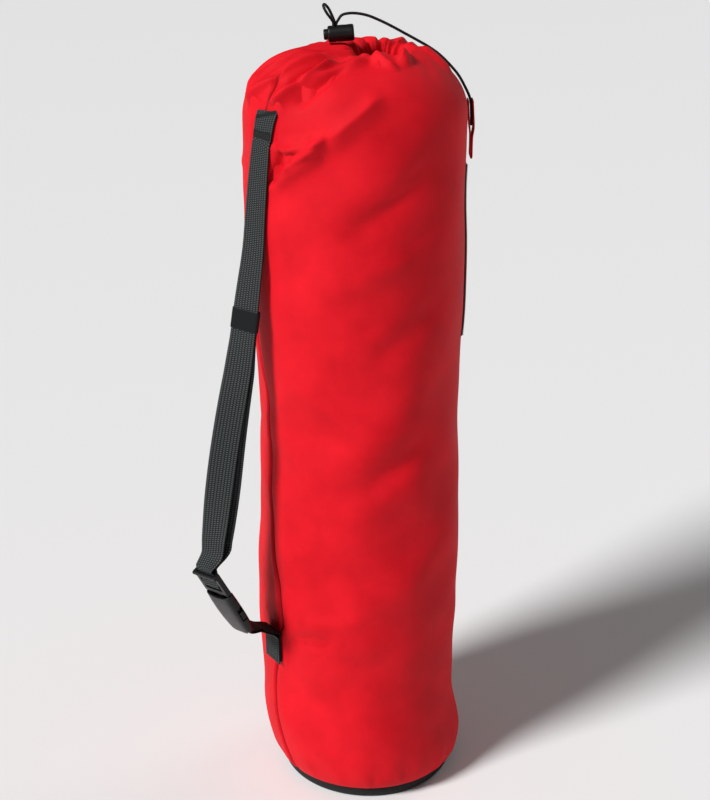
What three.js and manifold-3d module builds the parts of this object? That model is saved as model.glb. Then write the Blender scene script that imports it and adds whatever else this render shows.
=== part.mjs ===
// A drawstring bag for a rolled exercise mat, standing on its base, with a shoulder strap down its seam.
// Millimetres, +Z up. The origin is where the bag's axis meets the floor. The seam and the strap are on
// the -X side. The cord lock, its cords and the pull tab are set out square to the bag's front, which is
// turned from -Y by frontTurn.

import * as THREE from "three";
import { mergeVertices } from "three/addons/utils/BufferGeometryUtils.js";
import Module from "manifold-3d";

const wasm = await Module();
wasm.setup();

const clearance = 0.3; // between pieces that touch

// The cloth tube
const bagHeight = 697.5; // floor to the crest of the gathers
const bagRadius = 94;
const clothWall = 1.6;
const footRadius = 80.5; // of the seam between cloth and base panel
const heelHeight = 38; // rounded lower corner
const shoulderHeight = 58; // rounded upper corner
const crestRadius = 30; // crest of the gathers around the mouth
const funnelDepth = 24; // from the crest down to the gathered hem
const mouthRadius = 15.5; // of the gathered hem
const crestRound = 9; // how far in the crest's round reaches
const lipDip = 8; // how far the front lip hangs below the back one
const frontTurn = -34; // degrees, seen from above
const footShift = 9.2; // the foot's centre, right of the axis as seen from the front
const shoulderShift = -3.3; // the same for the shoulder
const mouthShift = 16; // the same for the mouth
const seamDepth = 2.2;
const seamWide = 3;
const pleatTall = 2.2; // gathers round the mouth
const pleatCount = 15;
const puckerTall = 1.1; // gathers above the base seam
const puckerCount = 20;
const waveTall = 1.3; // slow unevenness of the whole tube
const patternColumns = 50;

// The base panel
const baseRim = 9.5; // height of its rim
const baseWall = 2;
const baseFlat = 71; // radius of the part that lies on the floor

// The side pocket and its zip
const pocketWall = 1.4;
const pocketDrop = 99.5; // from the crest down to its upper edge
const pocketLong = 155;
const pocketFrom = 142; // degrees round from the seam
const pocketTo = 214;
const pocketBulge = 2.5;
const zipWide = 6;
const zipThick = 2;

// The webbing strap
const strapWide = 25;
const strapThick = 1.5;
const anchorLong = 27; // sewn length at the top
const anchorDrop = 53; // from the crest down to the middle of that length
const anchorTurn = 5.5; // degrees from the seam's side, at its middle
const anchorLean = 4; // degrees more at its top than at its foot
const patchLong = 31; // sewn length at the bottom
const patchHeight = 151;
const patchTurn = -1; // degrees from the seam's side
const strapSway = 4.5; // how far its hanging run moves to the front at the top
const labelLong = 18;
const labelWall = 0.8;
const labelAt = 0.41; // share of the hanging strap above the label's middle

// The side-release buckle
const buckleWide = 36;
const buckleLong = 70; // grip bar to tip
const buckleThick = 11;
const buckleReach = 163; // of the grip bar from the bag's axis
const buckleHeight = 247; // of the grip bar from the floor
const buckleTurn = 11; // degrees that its face is turned to the front
const bucklePitch = 25; // degrees that its face leans down
const buckleRoll = 12; // degrees that it swings in its own plane
const railThick = 4.6;
const gripRadius = 2;
const wrapRadius = 1.6; // of the bar that the strap is wrapped round
const wrapAt = 12; // from the grip bar
const coverAt = 21; // from the grip bar to the cover's edge
const coverWall = 2;
const prongLong = 32;
const tailBarInset = 5.5; // of the lower strap's bar from the tip

// The cord lock
const lockLong = 22;
const lockRadius = 6.9;
const lockWall = 2.1;
const lockShift = -14.7; // its middle, right of the axis as seen from the front
const lockTilt = 5; // degrees that its right end is raised
const cordHoleShift = -4.8; // from the barrel's middle
const plungerTravel = 3;
const plungerShow = 3.6; // how far the plunger stands out
const springRoom = 5;

// The cord
const cordThick = 2.5;
const cordSides = 8;

// The pull tab
const tabWide = 18;
const tabLong = 49;
const tabWall = 1.1;

const red = "#c8101c";
const darkRed = "#b80d18";
const black = "#141415";

// Girth of the standing part: up is the share of the height between the rounded corners, out the share
// of bagRadius.
const girth = [
  { up: 0, out: 1.018 },
  { up: 0.09, out: 1.002 },
  { up: 0.26, out: 1.0 },
  { up: 0.425, out: 0.979 },
  { up: 0.595, out: 0.986 },
  { up: 0.76, out: 1.03 },
  { up: 0.93, out: 1.014 },
  { up: 1, out: 1.006 },
];

// The seam wanders: along is the share of the outline from foot to hem, turn is in degrees.
const seamWander = [
  { along: 0, turn: 4 },
  { along: 0.08, turn: -2 },
  { along: 0.13, turn: -4.5 },
  { along: 0.17, turn: -1 },
  { along: 0.25, turn: 8 },
  { along: 0.31, turn: 2 },
  { along: 0.39, turn: -4.5 },
  { along: 0.5, turn: -7 },
  { along: 0.58, turn: -13 },
  { along: 0.7, turn: -12 },
  { along: 0.77, turn: -7 },
  { along: 0.84, turn: 4 },
  { along: 0.93, turn: 4 },
  { along: 1, turn: 0 },
];

// Main folds of the cloth. around is in degrees round from the seam, along the share of the outline from
// foot to hem, and wide and tall are shares of bagRadius. A dent has a negative tall.
const folds = [
  { around: 100, along: 0.93, toAround: 60, toAlong: 0.948, wide: 0.08, tall: 0.045 },
  { around: 60, along: 0.948, toAround: 22, toAlong: 0.885, wide: 0.075, tall: 0.05 },
  { around: 22, along: 0.885, toAround: 8, toAlong: 0.85, wide: 0.08, tall: 0.04 },
  { around: 44, along: 0.93, toAround: 10, toAlong: 0.875, wide: 0.05, tall: -0.03 },
  { around: 8, along: 0.94, toAround: -14, toAlong: 0.85, wide: 0.07, tall: 0.045 },
  { around: -6, along: 0.93, toAround: -24, toAlong: 0.87, wide: 0.06, tall: -0.03 },
  { around: -34, along: 0.945, toAround: -30, toAlong: 0.86, wide: 0.08, tall: 0.035 },
  { around: 106, along: 0.955, toAround: 92, toAlong: 0.915, wide: 0.06, tall: 0.04 },
  { around: 118, along: 0.95, toAround: 112, toAlong: 0.89, wide: 0.08, tall: -0.03 },
  { around: 150, along: 0.94, toAround: 136, toAlong: 0.885, wide: 0.07, tall: 0.045 },
  { around: 172, along: 0.945, toAround: 178, toAlong: 0.87, wide: 0.07, tall: -0.035 },
  { around: 198, along: 0.95, toAround: 204, toAlong: 0.86, wide: 0.08, tall: 0.04 },
  { around: 226, along: 0.945, toAround: 236, toAlong: 0.87, wide: 0.07, tall: -0.03 },
  { around: 254, along: 0.95, toAround: 262, toAlong: 0.86, wide: 0.08, tall: 0.04 },
  { around: 290, along: 0.945, toAround: 302, toAlong: 0.88, wide: 0.07, tall: -0.03 },
  { around: 18, along: 0.812, toAround: 42, toAlong: 0.828, wide: 0.07, tall: 0.045 },
  { around: 40, along: 0.818, toAround: 10, toAlong: 0.772, wide: 0.07, tall: 0.035 },
  { around: 20, along: 0.8, toAround: 10, toAlong: 0.775, wide: 0.05, tall: -0.045 },
  { around: 72, along: 0.88, toAround: 40, toAlong: 0.82, wide: 0.1, tall: 0.025 },
  { around: 98, along: 0.8, toAround: 50, toAlong: 0.72, wide: 0.12, tall: -0.025 },
  { around: 104, along: 0.64, toAround: 62, toAlong: 0.58, wide: 0.12, tall: -0.02 },
  { around: 40, along: 0.66, toAround: 84, toAlong: 0.7, wide: 0.12, tall: 0.02 },
  { around: 96, along: 0.48, toAround: 60, toAlong: 0.42, wide: 0.12, tall: -0.02 },
  { around: 12, along: 0.205, toAround: 42, toAlong: 0.216, wide: 0.05, tall: -0.03 },
  { around: 24, along: 0.235, toAround: 60, toAlong: 0.25, wide: 0.07, tall: 0.02 },
];

// The hanging strap, from the top anchor to the buckle. up is the share of the height between them, reach
// the share of buckleReach from the axis, and turn the degrees that its face is turned to the front.
const strapHang = [
  { up: 0.985, reach: 0.613, turn: 4 },
  { up: 0.93, reach: 0.627, turn: 7 },
  { up: 0.85, reach: 0.64, turn: 10 },
  { up: 0.76, reach: 0.655, turn: 14 },
  { up: 0.67, reach: 0.69, turn: 21.5 },
  { up: 0.64, reach: 0.7015, turn: 25.4 },
  { up: 0.56, reach: 0.7335, turn: 27.4 },
  { up: 0.53, reach: 0.747, turn: 31.5 },
  { up: 0.49, reach: 0.765, turn: 37 },
  { up: 0.39, reach: 0.82, turn: 45 },
  { up: 0.29, reach: 0.87, turn: 47 },
  { up: 0.19, reach: 0.912, turn: 42 },
  { up: 0.1, reach: 0.945, turn: 28 },
  { up: 0.045, reach: 0.966, turn: 18 },
];

// How far the strap's second layer hangs behind the first one: at is the share of the way up to the label.
const layerGap = [
  { at: 0, gap: 7.5 },
  { at: 0.3, gap: 8 },
  { at: 0.6, gap: 5.5 },
  { at: 0.85, gap: 3.2 },
  { at: 1, gap: 2.4 },
];

// The loop of cord over the lock: right and up from the top of the cord hole, and how far its two runs
// lie apart.
const loopRise = [
  { up: 2.6, right: -0.6, apart: 3.2 },
  { up: 6, right: -2.2, apart: 6.2 },
  { up: 9.6, right: -4.4, apart: 9.4 },
  { up: 12.8, right: -6.2, apart: 10.4 },
  { up: 15.4, right: -7.8, apart: 8 },
  { up: 16.8, right: -8.6, apart: 3.6 },
];

// The long run of cord, as seen from the front: right of the axis, away from the eye, and up.
const cordRun = [
  [-16.9, 0.4, 718.6],
  [-14, 1.2, 722.2],
  [-8.6, 2, 723.6],
  [-1, 3.2, 723.4],
  [8, 4.6, 721.4],
  [18, 6.2, 717.2],
  [28, 7.8, 712.2],
  [38.5, 9.4, 706.4],
  [49, 11, 700.6],
  [59, 12.2, 694.8],
  [68, 12.6, 688.6],
  [77, 12, 680.2],
  [84.8, 10.8, 671.4],
  [90.6, 9.2, 661.8],
  [95.3, 7.6, 651.4],
  [96.5, 6.8, 640],
  [96.9, 6.4, 629],
];

// Geometry helpers

const rad = (degrees) => (degrees * Math.PI) / 180;
const clamp = (value, low, high) => Math.min(Math.max(value, low), high);
const mix = (a, b, share) => a + (b - a) * share;

function smooth(from, to, value) {
  const t = clamp((value - from) / (to - from), 0, 1);
  return t * t * (3 - 2 * t);
}

// A smooth curve through one column of a table.
function curveOf(table, key, column) {
  const knots = table.map((row) => new THREE.Vector2(row[key], row[column]));
  knots.sort((a, b) => a.x - b.x);
  const slopes = knots.map((knot, i) => {
    const before = knots[Math.max(i - 1, 0)];
    const after = knots[Math.min(i + 1, knots.length - 1)];
    return (after.y - before.y) / (after.x - before.x);
  });
  return (at) => {
    const x = clamp(at, knots[0].x, knots.at(-1).x);
    let i = knots.findIndex((knot) => knot.x >= x);
    i = Math.max(i, 1);
    const [a, b] = [knots[i - 1], knots[i]];
    const span = b.x - a.x;
    const t = (x - a.x) / span;
    const rise = a.y * (1 + 2 * t) * (1 - t) ** 2 + b.y * t * t * (3 - 2 * t);
    return rise + span * (slopes[i - 1] * t * (1 - t) ** 2 - slopes[i] * t * t * (1 - t));
  };
}

// Right, away and up as seen from the bag's front, as a point of the part.
function frontPoint(right, away, up) {
  return new THREE.Vector3(right, away, up).applyAxisAngle(new THREE.Vector3(0, 0, 1), rad(frontTurn));
}

function meshGeometry(points, faces) {
  const geometry = new THREE.BufferGeometry();
  const numbers = points.flatMap((point) => point.toArray());
  geometry.setAttribute("position", new THREE.Float32BufferAttribute(numbers, 3));
  geometry.setIndex(faces);
  return geometry;
}

// A closed solid through rings of points that run anticlockwise seen from the last ring, with flat ends.
// turned tells for a ring and side whether that face is split along its other diagonal.
function loft(rings, turned = () => false) {
  const count = rings[0].length;
  const faces = [];
  for (let r = 0; r + 1 < rings.length; r++) {
    for (let i = 0; i < count; i++) {
      const [a, b] = [r * count + i, r * count + ((i + 1) % count)];
      if (turned(r, i)) faces.push(a, b, a + count, b, b + count, a + count);
      else faces.push(a, b, b + count, a, b + count, a + count);
    }
  }
  const last = (rings.length - 1) * count;
  for (let i = 1; i + 1 < count; i++) {
    faces.push(0, i + 1, i, last, last + i, last + i + 1);
  }
  return meshGeometry(rings.flat(), faces);
}

// A wall between outer and inner rings, open at both ends.
function sleeve(outer, inner) {
  const count = outer[0].length;
  const start = outer.length * count;
  const faces = [];
  for (let r = 0; r + 1 < outer.length; r++) {
    for (let i = 0; i < count; i++) {
      const [a, b] = [r * count + i, r * count + ((i + 1) % count)];
      const [c, d] = [a + start, b + start];
      faces.push(a, b, b + count, a, b + count, a + count);
      faces.push(c, d + count, d, c, c + count, d + count);
    }
  }
  const last = (outer.length - 1) * count;
  for (let i = 0; i < count; i++) {
    const j = (i + 1) % count;
    faces.push(i, start + i, start + j, i, start + j, j);
    faces.push(last + i, last + start + j, last + start + i, last + i, last + j, last + start + j);
  }
  return meshGeometry([...outer.flat(), ...inner.flat()], faces);
}

// A thin slab between an outer and an inner grid of points.
function slab(outer, inner) {
  const [rows, columns] = [outer.length, outer[0].length];
  const ring = (grid) => [
    ...grid[0],
    ...grid.slice(1, -1).map((row) => row[columns - 1]),
    ...[...grid[rows - 1]].reverse(),
    ...grid.slice(1, -1).map((row) => row[0]).reverse(),
  ];
  const points = [...outer.flat(), ...inner.flat()];
  const start = rows * columns;
  const faces = [];
  for (let r = 0; r + 1 < rows; r++) {
    for (let i = 0; i + 1 < columns; i++) {
      const a = r * columns + i;
      faces.push(a, a + 1, a + 1 + columns, a, a + 1 + columns, a + columns);
      const c = a + start;
      faces.push(c, c + 1 + columns, c + 1, c, c + columns, c + 1 + columns);
    }
  }
  const [rim, under] = [ring(outer), ring(inner)];
  const index = new Map(points.map((point, i) => [point, i]));
  rim.forEach((point, i) => {
    const j = (i + 1) % rim.length;
    const [a, b, c, d] = [point, rim[j], under[j], under[i]].map((p) => index.get(p));
    faces.push(a, c, b, a, d, c);
  });
  return meshGeometry(points, faces);
}

// Webbing of one width and thickness through stations { at, across }. Where it twists, both its faces and
// all its layers are split along diagonals that lean the same way, so that they stay parallel.
function webbing(stations, wide, thick) {
  const rings = stations.map((station, i) => {
    const before = stations[Math.max(i - 1, 0)].at;
    const after = stations[Math.min(i + 1, stations.length - 1)].at;
    const along = after.clone().sub(before).normalize();
    const across = station.across.clone().addScaledVector(along, -station.across.dot(along)).normalize();
    const out = new THREE.Vector3().crossVectors(along, across);
    const corner = (a, b) =>
      station.at.clone().addScaledVector(across, (a * wide) / 2).addScaledVector(out, (b * thick) / 2);
    return [corner(-1, -1), corner(1, -1), corner(1, 1), corner(-1, 1)];
  });
  const falling = (r) => stations[r].at.z > stations[r + 1].at.z;
  return loft(rings, (r, side) => side === (falling(r) ? 2 : 0));
}

function solidOf(geometry) {
  const bare = geometry.clone();
  bare.deleteAttribute("normal");
  bare.deleteAttribute("uv");
  const merged = mergeVertices(bare, 1e-4);
  return new wasm.Manifold(
    new wasm.Mesh({
      numProp: 3,
      vertProperties: new Float32Array(merged.attributes.position.array),
      triVerts: new Uint32Array(merged.index.array),
    }),
  );
}

function geometryOf(solid) {
  const mesh = solid.getMesh();
  const geometry = new THREE.BufferGeometry();
  geometry.setAttribute("position", new THREE.BufferAttribute(mesh.vertProperties, 3));
  geometry.setIndex(new THREE.BufferAttribute(mesh.triVerts, 1));
  return geometry;
}

function boxSolid(low, high) {
  const size = high.map((value, i) => value - low[i]);
  const geometry = new THREE.BoxGeometry(...size);
  geometry.translate(...low.map((value, i) => value + size[i] / 2));
  return solidOf(geometry);
}

// A round bar along Y.
function barSolid(radius, long, x, z) {
  const geometry = new THREE.CylinderGeometry(radius, radius, long, 12);
  geometry.translate(x, 0, z);
  return solidOf(geometry);
}

// A body turned about X, from a list of [x, radius] that starts and ends on the axis.
function turnedSolid(outline, sides) {
  const profile = outline.map(([x, radius]) => new THREE.Vector2(radius, x));
  const geometry = new THREE.LatheGeometry(profile, sides);
  geometry.rotateZ(-Math.PI / 2);
  return solidOf(geometry);
}

function part(name, geometry, color, roughness) {
  const flat = geometry.index ? geometry.toNonIndexed() : geometry;
  flat.computeVertexNormals();
  const material = new THREE.MeshStandardMaterial({ color, roughness, metalness: 0 });
  const mesh = new THREE.Mesh(flat, material);
  mesh.name = name;
  return mesh;
}

// The cloth tube's outline, from the base seam up over the shoulder and down into the mouth, as fine steps
// with their length along it.
const clothFoot = baseRim + clearance;
const shoulderFoot = bagHeight - shoulderHeight;
const anchorHeight = bagHeight - anchorDrop;
const pocketHead = bagHeight - pocketDrop;
const pocketFoot = pocketHead - pocketLong;
const heelTop = clothFoot + heelHeight;
const girthAt = curveOf(girth, "up", "out");

function makeOutline() {
  const steps = [];
  const arcSteps = 24;
  const heelRadius = girthAt(0) * bagRadius;
  for (let i = 0; i <= arcSteps; i++) {
    const turn = (i / arcSteps) * (Math.PI / 2);
    steps.push({
      radius: footRadius + (heelRadius - footRadius) * Math.sin(turn),
      height: heelTop - heelHeight * Math.cos(turn),
    });
  }
  const standSteps = 60;
  for (let i = 1; i <= standSteps; i++) {
    const up = i / standSteps;
    steps.push({ radius: girthAt(up) * bagRadius, height: mix(heelTop, shoulderFoot, up) });
  }
  const shoulderRadius = girthAt(1) * bagRadius;
  for (let i = 1; i <= arcSteps; i++) {
    const turn = (i / arcSteps) * (Math.PI / 2);
    steps.push({
      radius: crestRadius + (shoulderRadius - crestRadius) * Math.cos(turn),
      height: shoulderFoot + shoulderHeight * Math.sin(turn),
    });
  }
  const crestStep = steps.length - 1;
  const roundDepth = funnelDepth / 2;
  for (let i = 1; i <= arcSteps; i++) {
    const turn = (i / arcSteps) * (Math.PI / 2);
    steps.push({
      radius: crestRadius - crestRound * Math.sin(turn),
      height: bagHeight - roundDepth * (1 - Math.cos(turn)),
    });
  }
  steps.push({ radius: mouthRadius, height: bagHeight - funnelDepth });
  let long = 0;
  steps.forEach((step, i) => {
    const before = steps[Math.max(i - 1, 0)];
    long += Math.hypot(step.radius - before.radius, step.height - before.height);
    step.long = long;
  });
  steps.forEach((step) => {
    step.along = step.long / long;
  });
  return { steps, long, crest: steps[crestStep].along };
}

const outline = makeOutline();
const shoulderStart = outline.steps.find((step) => step.height >= shoulderFoot).along;

// The share of the outline at which its outside reaches a height of the standing part.
function alongAt(height) {
  const i = outline.steps.findIndex((step) => step.height >= height);
  const [a, b] = [outline.steps[i - 1], outline.steps[i]];
  return mix(a.along, b.along, (height - a.height) / (b.height - a.height));
}

// Radius, height and outward direction of the smooth outline.
function outlineAt(along) {
  const at = (share) => {
    const { steps } = outline;
    let i = steps.findIndex((step) => step.along >= share);
    i = clamp(i < 0 ? steps.length - 1 : i, 1, steps.length - 1);
    const [a, b] = [steps[i - 1], steps[i]];
    const t = (share - a.along) / (b.along - a.along);
    return { radius: mix(a.radius, b.radius, t), height: mix(a.height, b.height, t) };
  };
  const here = at(along);
  const [before, after] = [at(Math.max(along - 0.004, 0)), at(Math.min(along + 0.004, 1))];
  const run = [after.radius - before.radius, after.height - before.height];
  const size = Math.hypot(...run);
  return { ...here, outward: run[1] / size, upward: -run[0] / size };
}

// How far the outline has turned in from the shoulder to the crest, from 0 to 1.
function gathered(along) {
  if (along <= shoulderStart) return 0;
  if (along >= outline.crest) return 1;
  const shoulderRadius = girthAt(1) * bagRadius;
  return (shoulderRadius - outlineAt(along).radius) / (shoulderRadius - crestRadius);
}

// Sideways shift of the ring at this share, right as seen from the front.
function ringShift(along, height) {
  const foot = footShift * (1 - smooth(clothFoot, heelTop * 1.6, height));
  const shoulder = shoulderShift * smooth(0.62 * bagHeight, 0.86 * bagHeight, height);
  return foot + shoulder + (mouthShift - shoulderShift) * gathered(along) ** 2.5;
}

const wanderAt = curveOf(seamWander, "along", "turn");

// Where the seam's own line runs, as degrees to add near it.
function seamTurn(around, along) {
  const near = (((around + 180) % 360) + 360) % 360;
  const away = Math.abs(near - 180);
  return away > 60 ? 0 : wanderAt(along) * 0.5 * (1 + Math.cos((Math.PI * away) / 60));
}

function foldRelief(turn, along, radius) {
  let relief = 0;
  for (const fold of folds) {
    const middle = (fold.around + fold.toAround) / 2;
    const near = ((((turn - middle + 180) % 360) + 360) % 360) - 180;
    const across = (degrees) => rad(degrees) * radius;
    const [px, py] = [across(near), along * outline.long];
    const [ax, ay] = [across(fold.around - middle), fold.along * outline.long];
    const [bx, by] = [across(fold.toAround - middle), fold.toAlong * outline.long];
    const [dx, dy] = [bx - ax, by - ay];
    const t = ((px - ax) * dx + (py - ay) * dy) / (dx * dx + dy * dy);
    const held = clamp(t, 0, 1);
    const off = Math.hypot(px - ax - held * dx, py - ay - held * dy);
    const wide = fold.wide * bagRadius;
    if (off > 2.5 * wide) continue;
    const taper = smooth(-0.1, 0.25, t) * smooth(-0.1, 0.25, 1 - t);
    relief += fold.tall * bagRadius * taper * Math.exp(-((off / wide) ** 2));
  }
  return relief;
}

// 1 where the cloth lies smooth under a sewn patch, fading to 0 round it.
function sewnFlat(turn, along) {
  const spots = [
    { turn: anchorTurn, height: anchorHeight, long: anchorLong },
    { turn: patchTurn, height: patchHeight, long: patchLong },
  ];
  const halfTurn = (strapWide / 2 / bagRadius) * (180 / Math.PI);
  return Math.max(
    ...spots.map((spot) => {
      const near = ((((turn - spot.turn + 180) % 360) + 360) % 360) - 180;
      const side = Math.abs(near) / halfTurn;
      const rise = Math.abs(along - alongAt(spot.height)) * outline.long / (spot.long / 2);
      return (1 - smooth(1.35, 2, side)) * (1 - smooth(1.3, 1.8, rise));
    }),
  );
}

// Height of the cloth above the smooth outline. around is counted from the seam.
function relief(around, along) {
  const turn = around + seamTurn(around, along);
  const { radius } = outlineAt(along);
  const seamOff = rad(((((around + 180) % 360) + 360) % 360) - 180) * radius;
  const wave =
    waveTall *
    (Math.sin(2 * rad(turn) + 9 * along + 1) + 0.7 * Math.sin(3 * rad(turn) - 14 * along)) *
    smooth(0.06, 0.14, along) *
    (1 - smooth(0.84, 0.92, along));
  const pleats = pleatTall * Math.cos(pleatCount * rad(turn)) * smooth(0.9, 0.97, along);
  const puckers = puckerTall * Math.cos(puckerCount * rad(turn)) * (1 - smooth(0.01, 0.07, along));
  const flat = 1 - sewnFlat(turn, along);
  const groove = seamDepth * Math.exp(-((seamOff / seamWide) ** 2)) * (1 - smooth(0.86, 0.93, along));
  return flat * (wave + pleats + puckers + foldRelief(turn, along, radius) - groove);
}

// A point of the cloth, lifted off its outer face.
function bagPoint(around, along, lift) {
  const { radius, height, outward, upward } = outlineAt(along);
  const direction = rad(180 + around + seamTurn(around, along));
  const rise = relief(around, along) + lift;
  const reach = radius + rise * outward;
  const dip = lipDip * Math.max(0, Math.cos(rad(around - 90 - frontTurn))) * gathered(along) ** 2;
  const shift = frontPoint(ringShift(along, height), 0, 0);
  return new THREE.Vector3(
    shift.x + reach * Math.cos(direction),
    shift.y + reach * Math.sin(direction),
    height + rise * upward - dip,
  );
}

// The same for a sewn patch: turn is its true direction from the seam's side, and height its own.
function sewnPoint(turn, height, lift) {
  const along = alongAt(height);
  return bagPoint(turn - seamTurn(turn, along), along, lift);
}

const anchorTop = anchorHeight + anchorLong / 2;
const anchorFoot = anchorHeight - anchorLong / 2;

// The tube's columns, with four more at the seam, and its rows.
const seamColumns = [-2.6, -1.1, 0, 1.1, 2.6];
const columnStep = 360 / patternColumns;
const columns = [...seamColumns];
for (let i = 1; i < patternColumns; i++) columns.push(i * columnStep);

function rowsBetween(from, to, count) {
  return Array.from({ length: count }, (_, i) => mix(from, to, i / count));
}

const pocketRows = rowsBetween(alongAt(pocketFoot), alongAt(pocketHead), 5);
const rows = [
  ...rowsBetween(0, alongAt(heelTop), 4),
  ...rowsBetween(alongAt(heelTop), alongAt(pocketFoot), 10),
  ...pocketRows,
  ...rowsBetween(alongAt(pocketHead), alongAt(anchorFoot - 3), 2),
  alongAt(anchorFoot - 3),
  ...rowsBetween(shoulderStart, outline.crest, 9),
  ...rowsBetween(outline.crest, 1, 4),
  1,
];

function bagBody() {
  const ringsAt = (lift) => rows.map((along) => columns.map((around) => bagPoint(around, along, lift)));
  return sleeve(ringsAt(0), ringsAt(-clothWall));
}

function basePanel() {
  const rounds = 4;
  const arc = (inset) =>
    Array.from({ length: rounds + 1 }, (_, i) => {
      const turn = (i / rounds) * (Math.PI / 2);
      return new THREE.Vector2(
        baseFlat + (footRadius - inset - baseFlat) * Math.sin(turn),
        inset + (baseRim - inset) * (1 - Math.cos(turn)),
      );
    });
  const [foot, inside] = [new THREE.Vector2(0, 0), new THREE.Vector2(0, baseWall)];
  const profile = [foot, ...arc(0), ...arc(baseWall).reverse(), inside];
  const geometry = new THREE.LatheGeometry(profile, 36);
  geometry.rotateX(Math.PI / 2);
  geometry.translate(...frontPoint(footShift, 0, 0).toArray());
  return geometryOf(solidOf(geometry));
}

// The pocket lies on the tube's own rows and columns, so that it follows every fold under it.
const pocketColumns = columns.filter((around) => around >= pocketFrom && around <= pocketTo);
const pocketLevels = [...pocketRows, alongAt(pocketHead)];

function sidePocket() {
  const grid = (lift, bulge) =>
    pocketLevels.map((along, r) =>
      pocketColumns.map((around, i) => {
        const up = Math.sin((Math.PI * r) / (pocketLevels.length - 1));
        const side = Math.sin((Math.PI * i) / (pocketColumns.length - 1));
        return bagPoint(around, along, lift + bulge * up * side);
      }),
    );
  return slab(grid(clearance + pocketWall, pocketBulge), grid(clearance, pocketBulge));
}

function pocketZip() {
  const half = (zipWide / 2 / bagRadius) * (180 / Math.PI);
  const middle = pocketColumns[0] - half - ((clearance + 0.4) / bagRadius) * (180 / Math.PI);
  const steps = 2 * (pocketLevels.length - 1);
  const rings = Array.from({ length: steps + 1 }, (_, i) => {
    const along = mix(pocketLevels[0], pocketLevels.at(-1), i / steps);
    const low = clearance + 0.5;
    return [
      bagPoint(middle - half, along, low),
      bagPoint(middle + half, along, low),
      bagPoint(middle + half * 0.6, along, low + zipThick),
      bagPoint(middle - half * 0.6, along, low + zipThick),
    ];
  });
  return loft(rings.map((ring) => ring.reverse()));
}

// The strap's face turned to the front by so many degrees, as the direction of its width.
function acrossAt(turn) {
  return new THREE.Vector3(Math.cos(rad(270 + turn)), Math.sin(rad(270 + turn)), 0);
}

// The buckle's own space: x runs down the strap from the grip bar, y across it, z out of its face.
const buckleSpace = new THREE.Matrix4();
{
  const facing = new THREE.Vector3(Math.cos(rad(180 + buckleTurn)), Math.sin(rad(180 + buckleTurn)), 0);
  const up = new THREE.Vector3(0, 0, 1);
  const [level, lean] = [Math.cos(rad(bucklePitch)), Math.sin(rad(bucklePitch))];
  const out = facing.clone().multiplyScalar(level).addScaledVector(up, -lean);
  const down = facing.clone().multiplyScalar(-lean).addScaledVector(up, -level);
  down.applyAxisAngle(out, rad(buckleRoll));
  const across = new THREE.Vector3().crossVectors(out, down);
  buckleSpace.makeBasis(down, across, out).setPosition(-buckleReach, 0, buckleHeight);
}
const buckleAcross = new THREE.Vector3(0, 1, 0).transformDirection(buckleSpace);

function inBuckle(x, z) {
  return { at: new THREE.Vector3(x, 0, z).applyMatrix4(buckleSpace), across: buckleAcross.clone() };
}

const hangReach = curveOf(strapHang, "up", "reach");
const hangTurn = curveOf(strapHang, "up", "turn");

// The hanging run at a share of its height, counted from the buckle.
function strapAt(up) {
  const height = mix(buckleHeight, anchorFoot, up);
  const sway = -strapSway * smooth(0.75, 1, up);
  const at = new THREE.Vector3(-hangReach(up) * buckleReach, sway, height);
  return { at, across: acrossAt(hangTurn(up)) };
}

// Round a bar of the buckle, from one angle to another, seen along its length.
function roundBar(x, z, radius, from, to, count) {
  return Array.from({ length: count + 1 }, (_, i) => {
    const angle = rad(mix(from, to, i / count));
    return inBuckle(x + radius * Math.cos(angle), z + radius * Math.sin(angle));
  });
}

const wrapReach = wrapRadius + clearance + strapThick / 2;
const hangTop = strapHang[0].up;
const hangFoot = strapHang.at(-1).up;
const labelUp = mix(hangTop, hangFoot, labelAt);
const hangLong = anchorFoot - buckleHeight;
const labelHalf = labelLong / 2 / hangLong;
const layerStep = strapThick + clearance;
const labelStep = strapThick + 2 * clearance;

function upperStrap() {
  const stations = [];
  const sewnSteps = 5;
  for (let i = 0; i <= sewnSteps; i++) {
    const height = mix(anchorTop, anchorFoot, i / sewnSteps);
    const turn = anchorTurn + anchorLean * (0.5 - i / sewnSteps);
    const lift = clearance + strapThick / 2;
    stations.push({ at: sewnPoint(turn, height, lift), across: acrossAt(turn) });
  }
  const steps = 26;
  const levels = Array.from({ length: steps + 1 }, (_, i) => mix(hangTop, hangFoot, i / steps));
  for (const up of levels) stations.push(strapAt(up));
  stations.push(inBuckle(-6, -0.6), inBuckle(0, -0.35), inBuckle(wrapAt / 2, 0.9));
  stations.push(...roundBar(wrapAt, 0, wrapReach, 115, -100, 6));
  stations.push(inBuckle(wrapAt / 2, -3.1), inBuckle(0, -3.7), inBuckle(-5, -6.6));
  const gapAt = curveOf(layerGap, "at", "gap");
  const labelFoot = labelUp - labelHalf;
  const backTop = labelUp + labelHalf * 0.8;
  // The second layer turns at the first one's own levels, so that the two lie flat against each other.
  const backLevels = levels.slice(0, -1).filter((up) => up < backTop - 0.01).reverse();
  for (const up of [hangFoot * 1.3, ...backLevels, backTop]) {
    const way = clamp((up - hangFoot) / (labelFoot - hangFoot), 0, 1);
    const { at, across } = strapAt(up);
    const out = new THREE.Vector3().crossVectors(new THREE.Vector3(0, 0, -1), across).normalize();
    const loose = new THREE.Vector3(gapAt(way), 0, 0);
    const held = out.clone().multiplyScalar(-labelStep);
    stations.push({ at: at.add(loose.lerp(held, smooth(0.8, 1, way))), across });
  }
  return webbing(stations, strapWide, strapThick);
}

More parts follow.
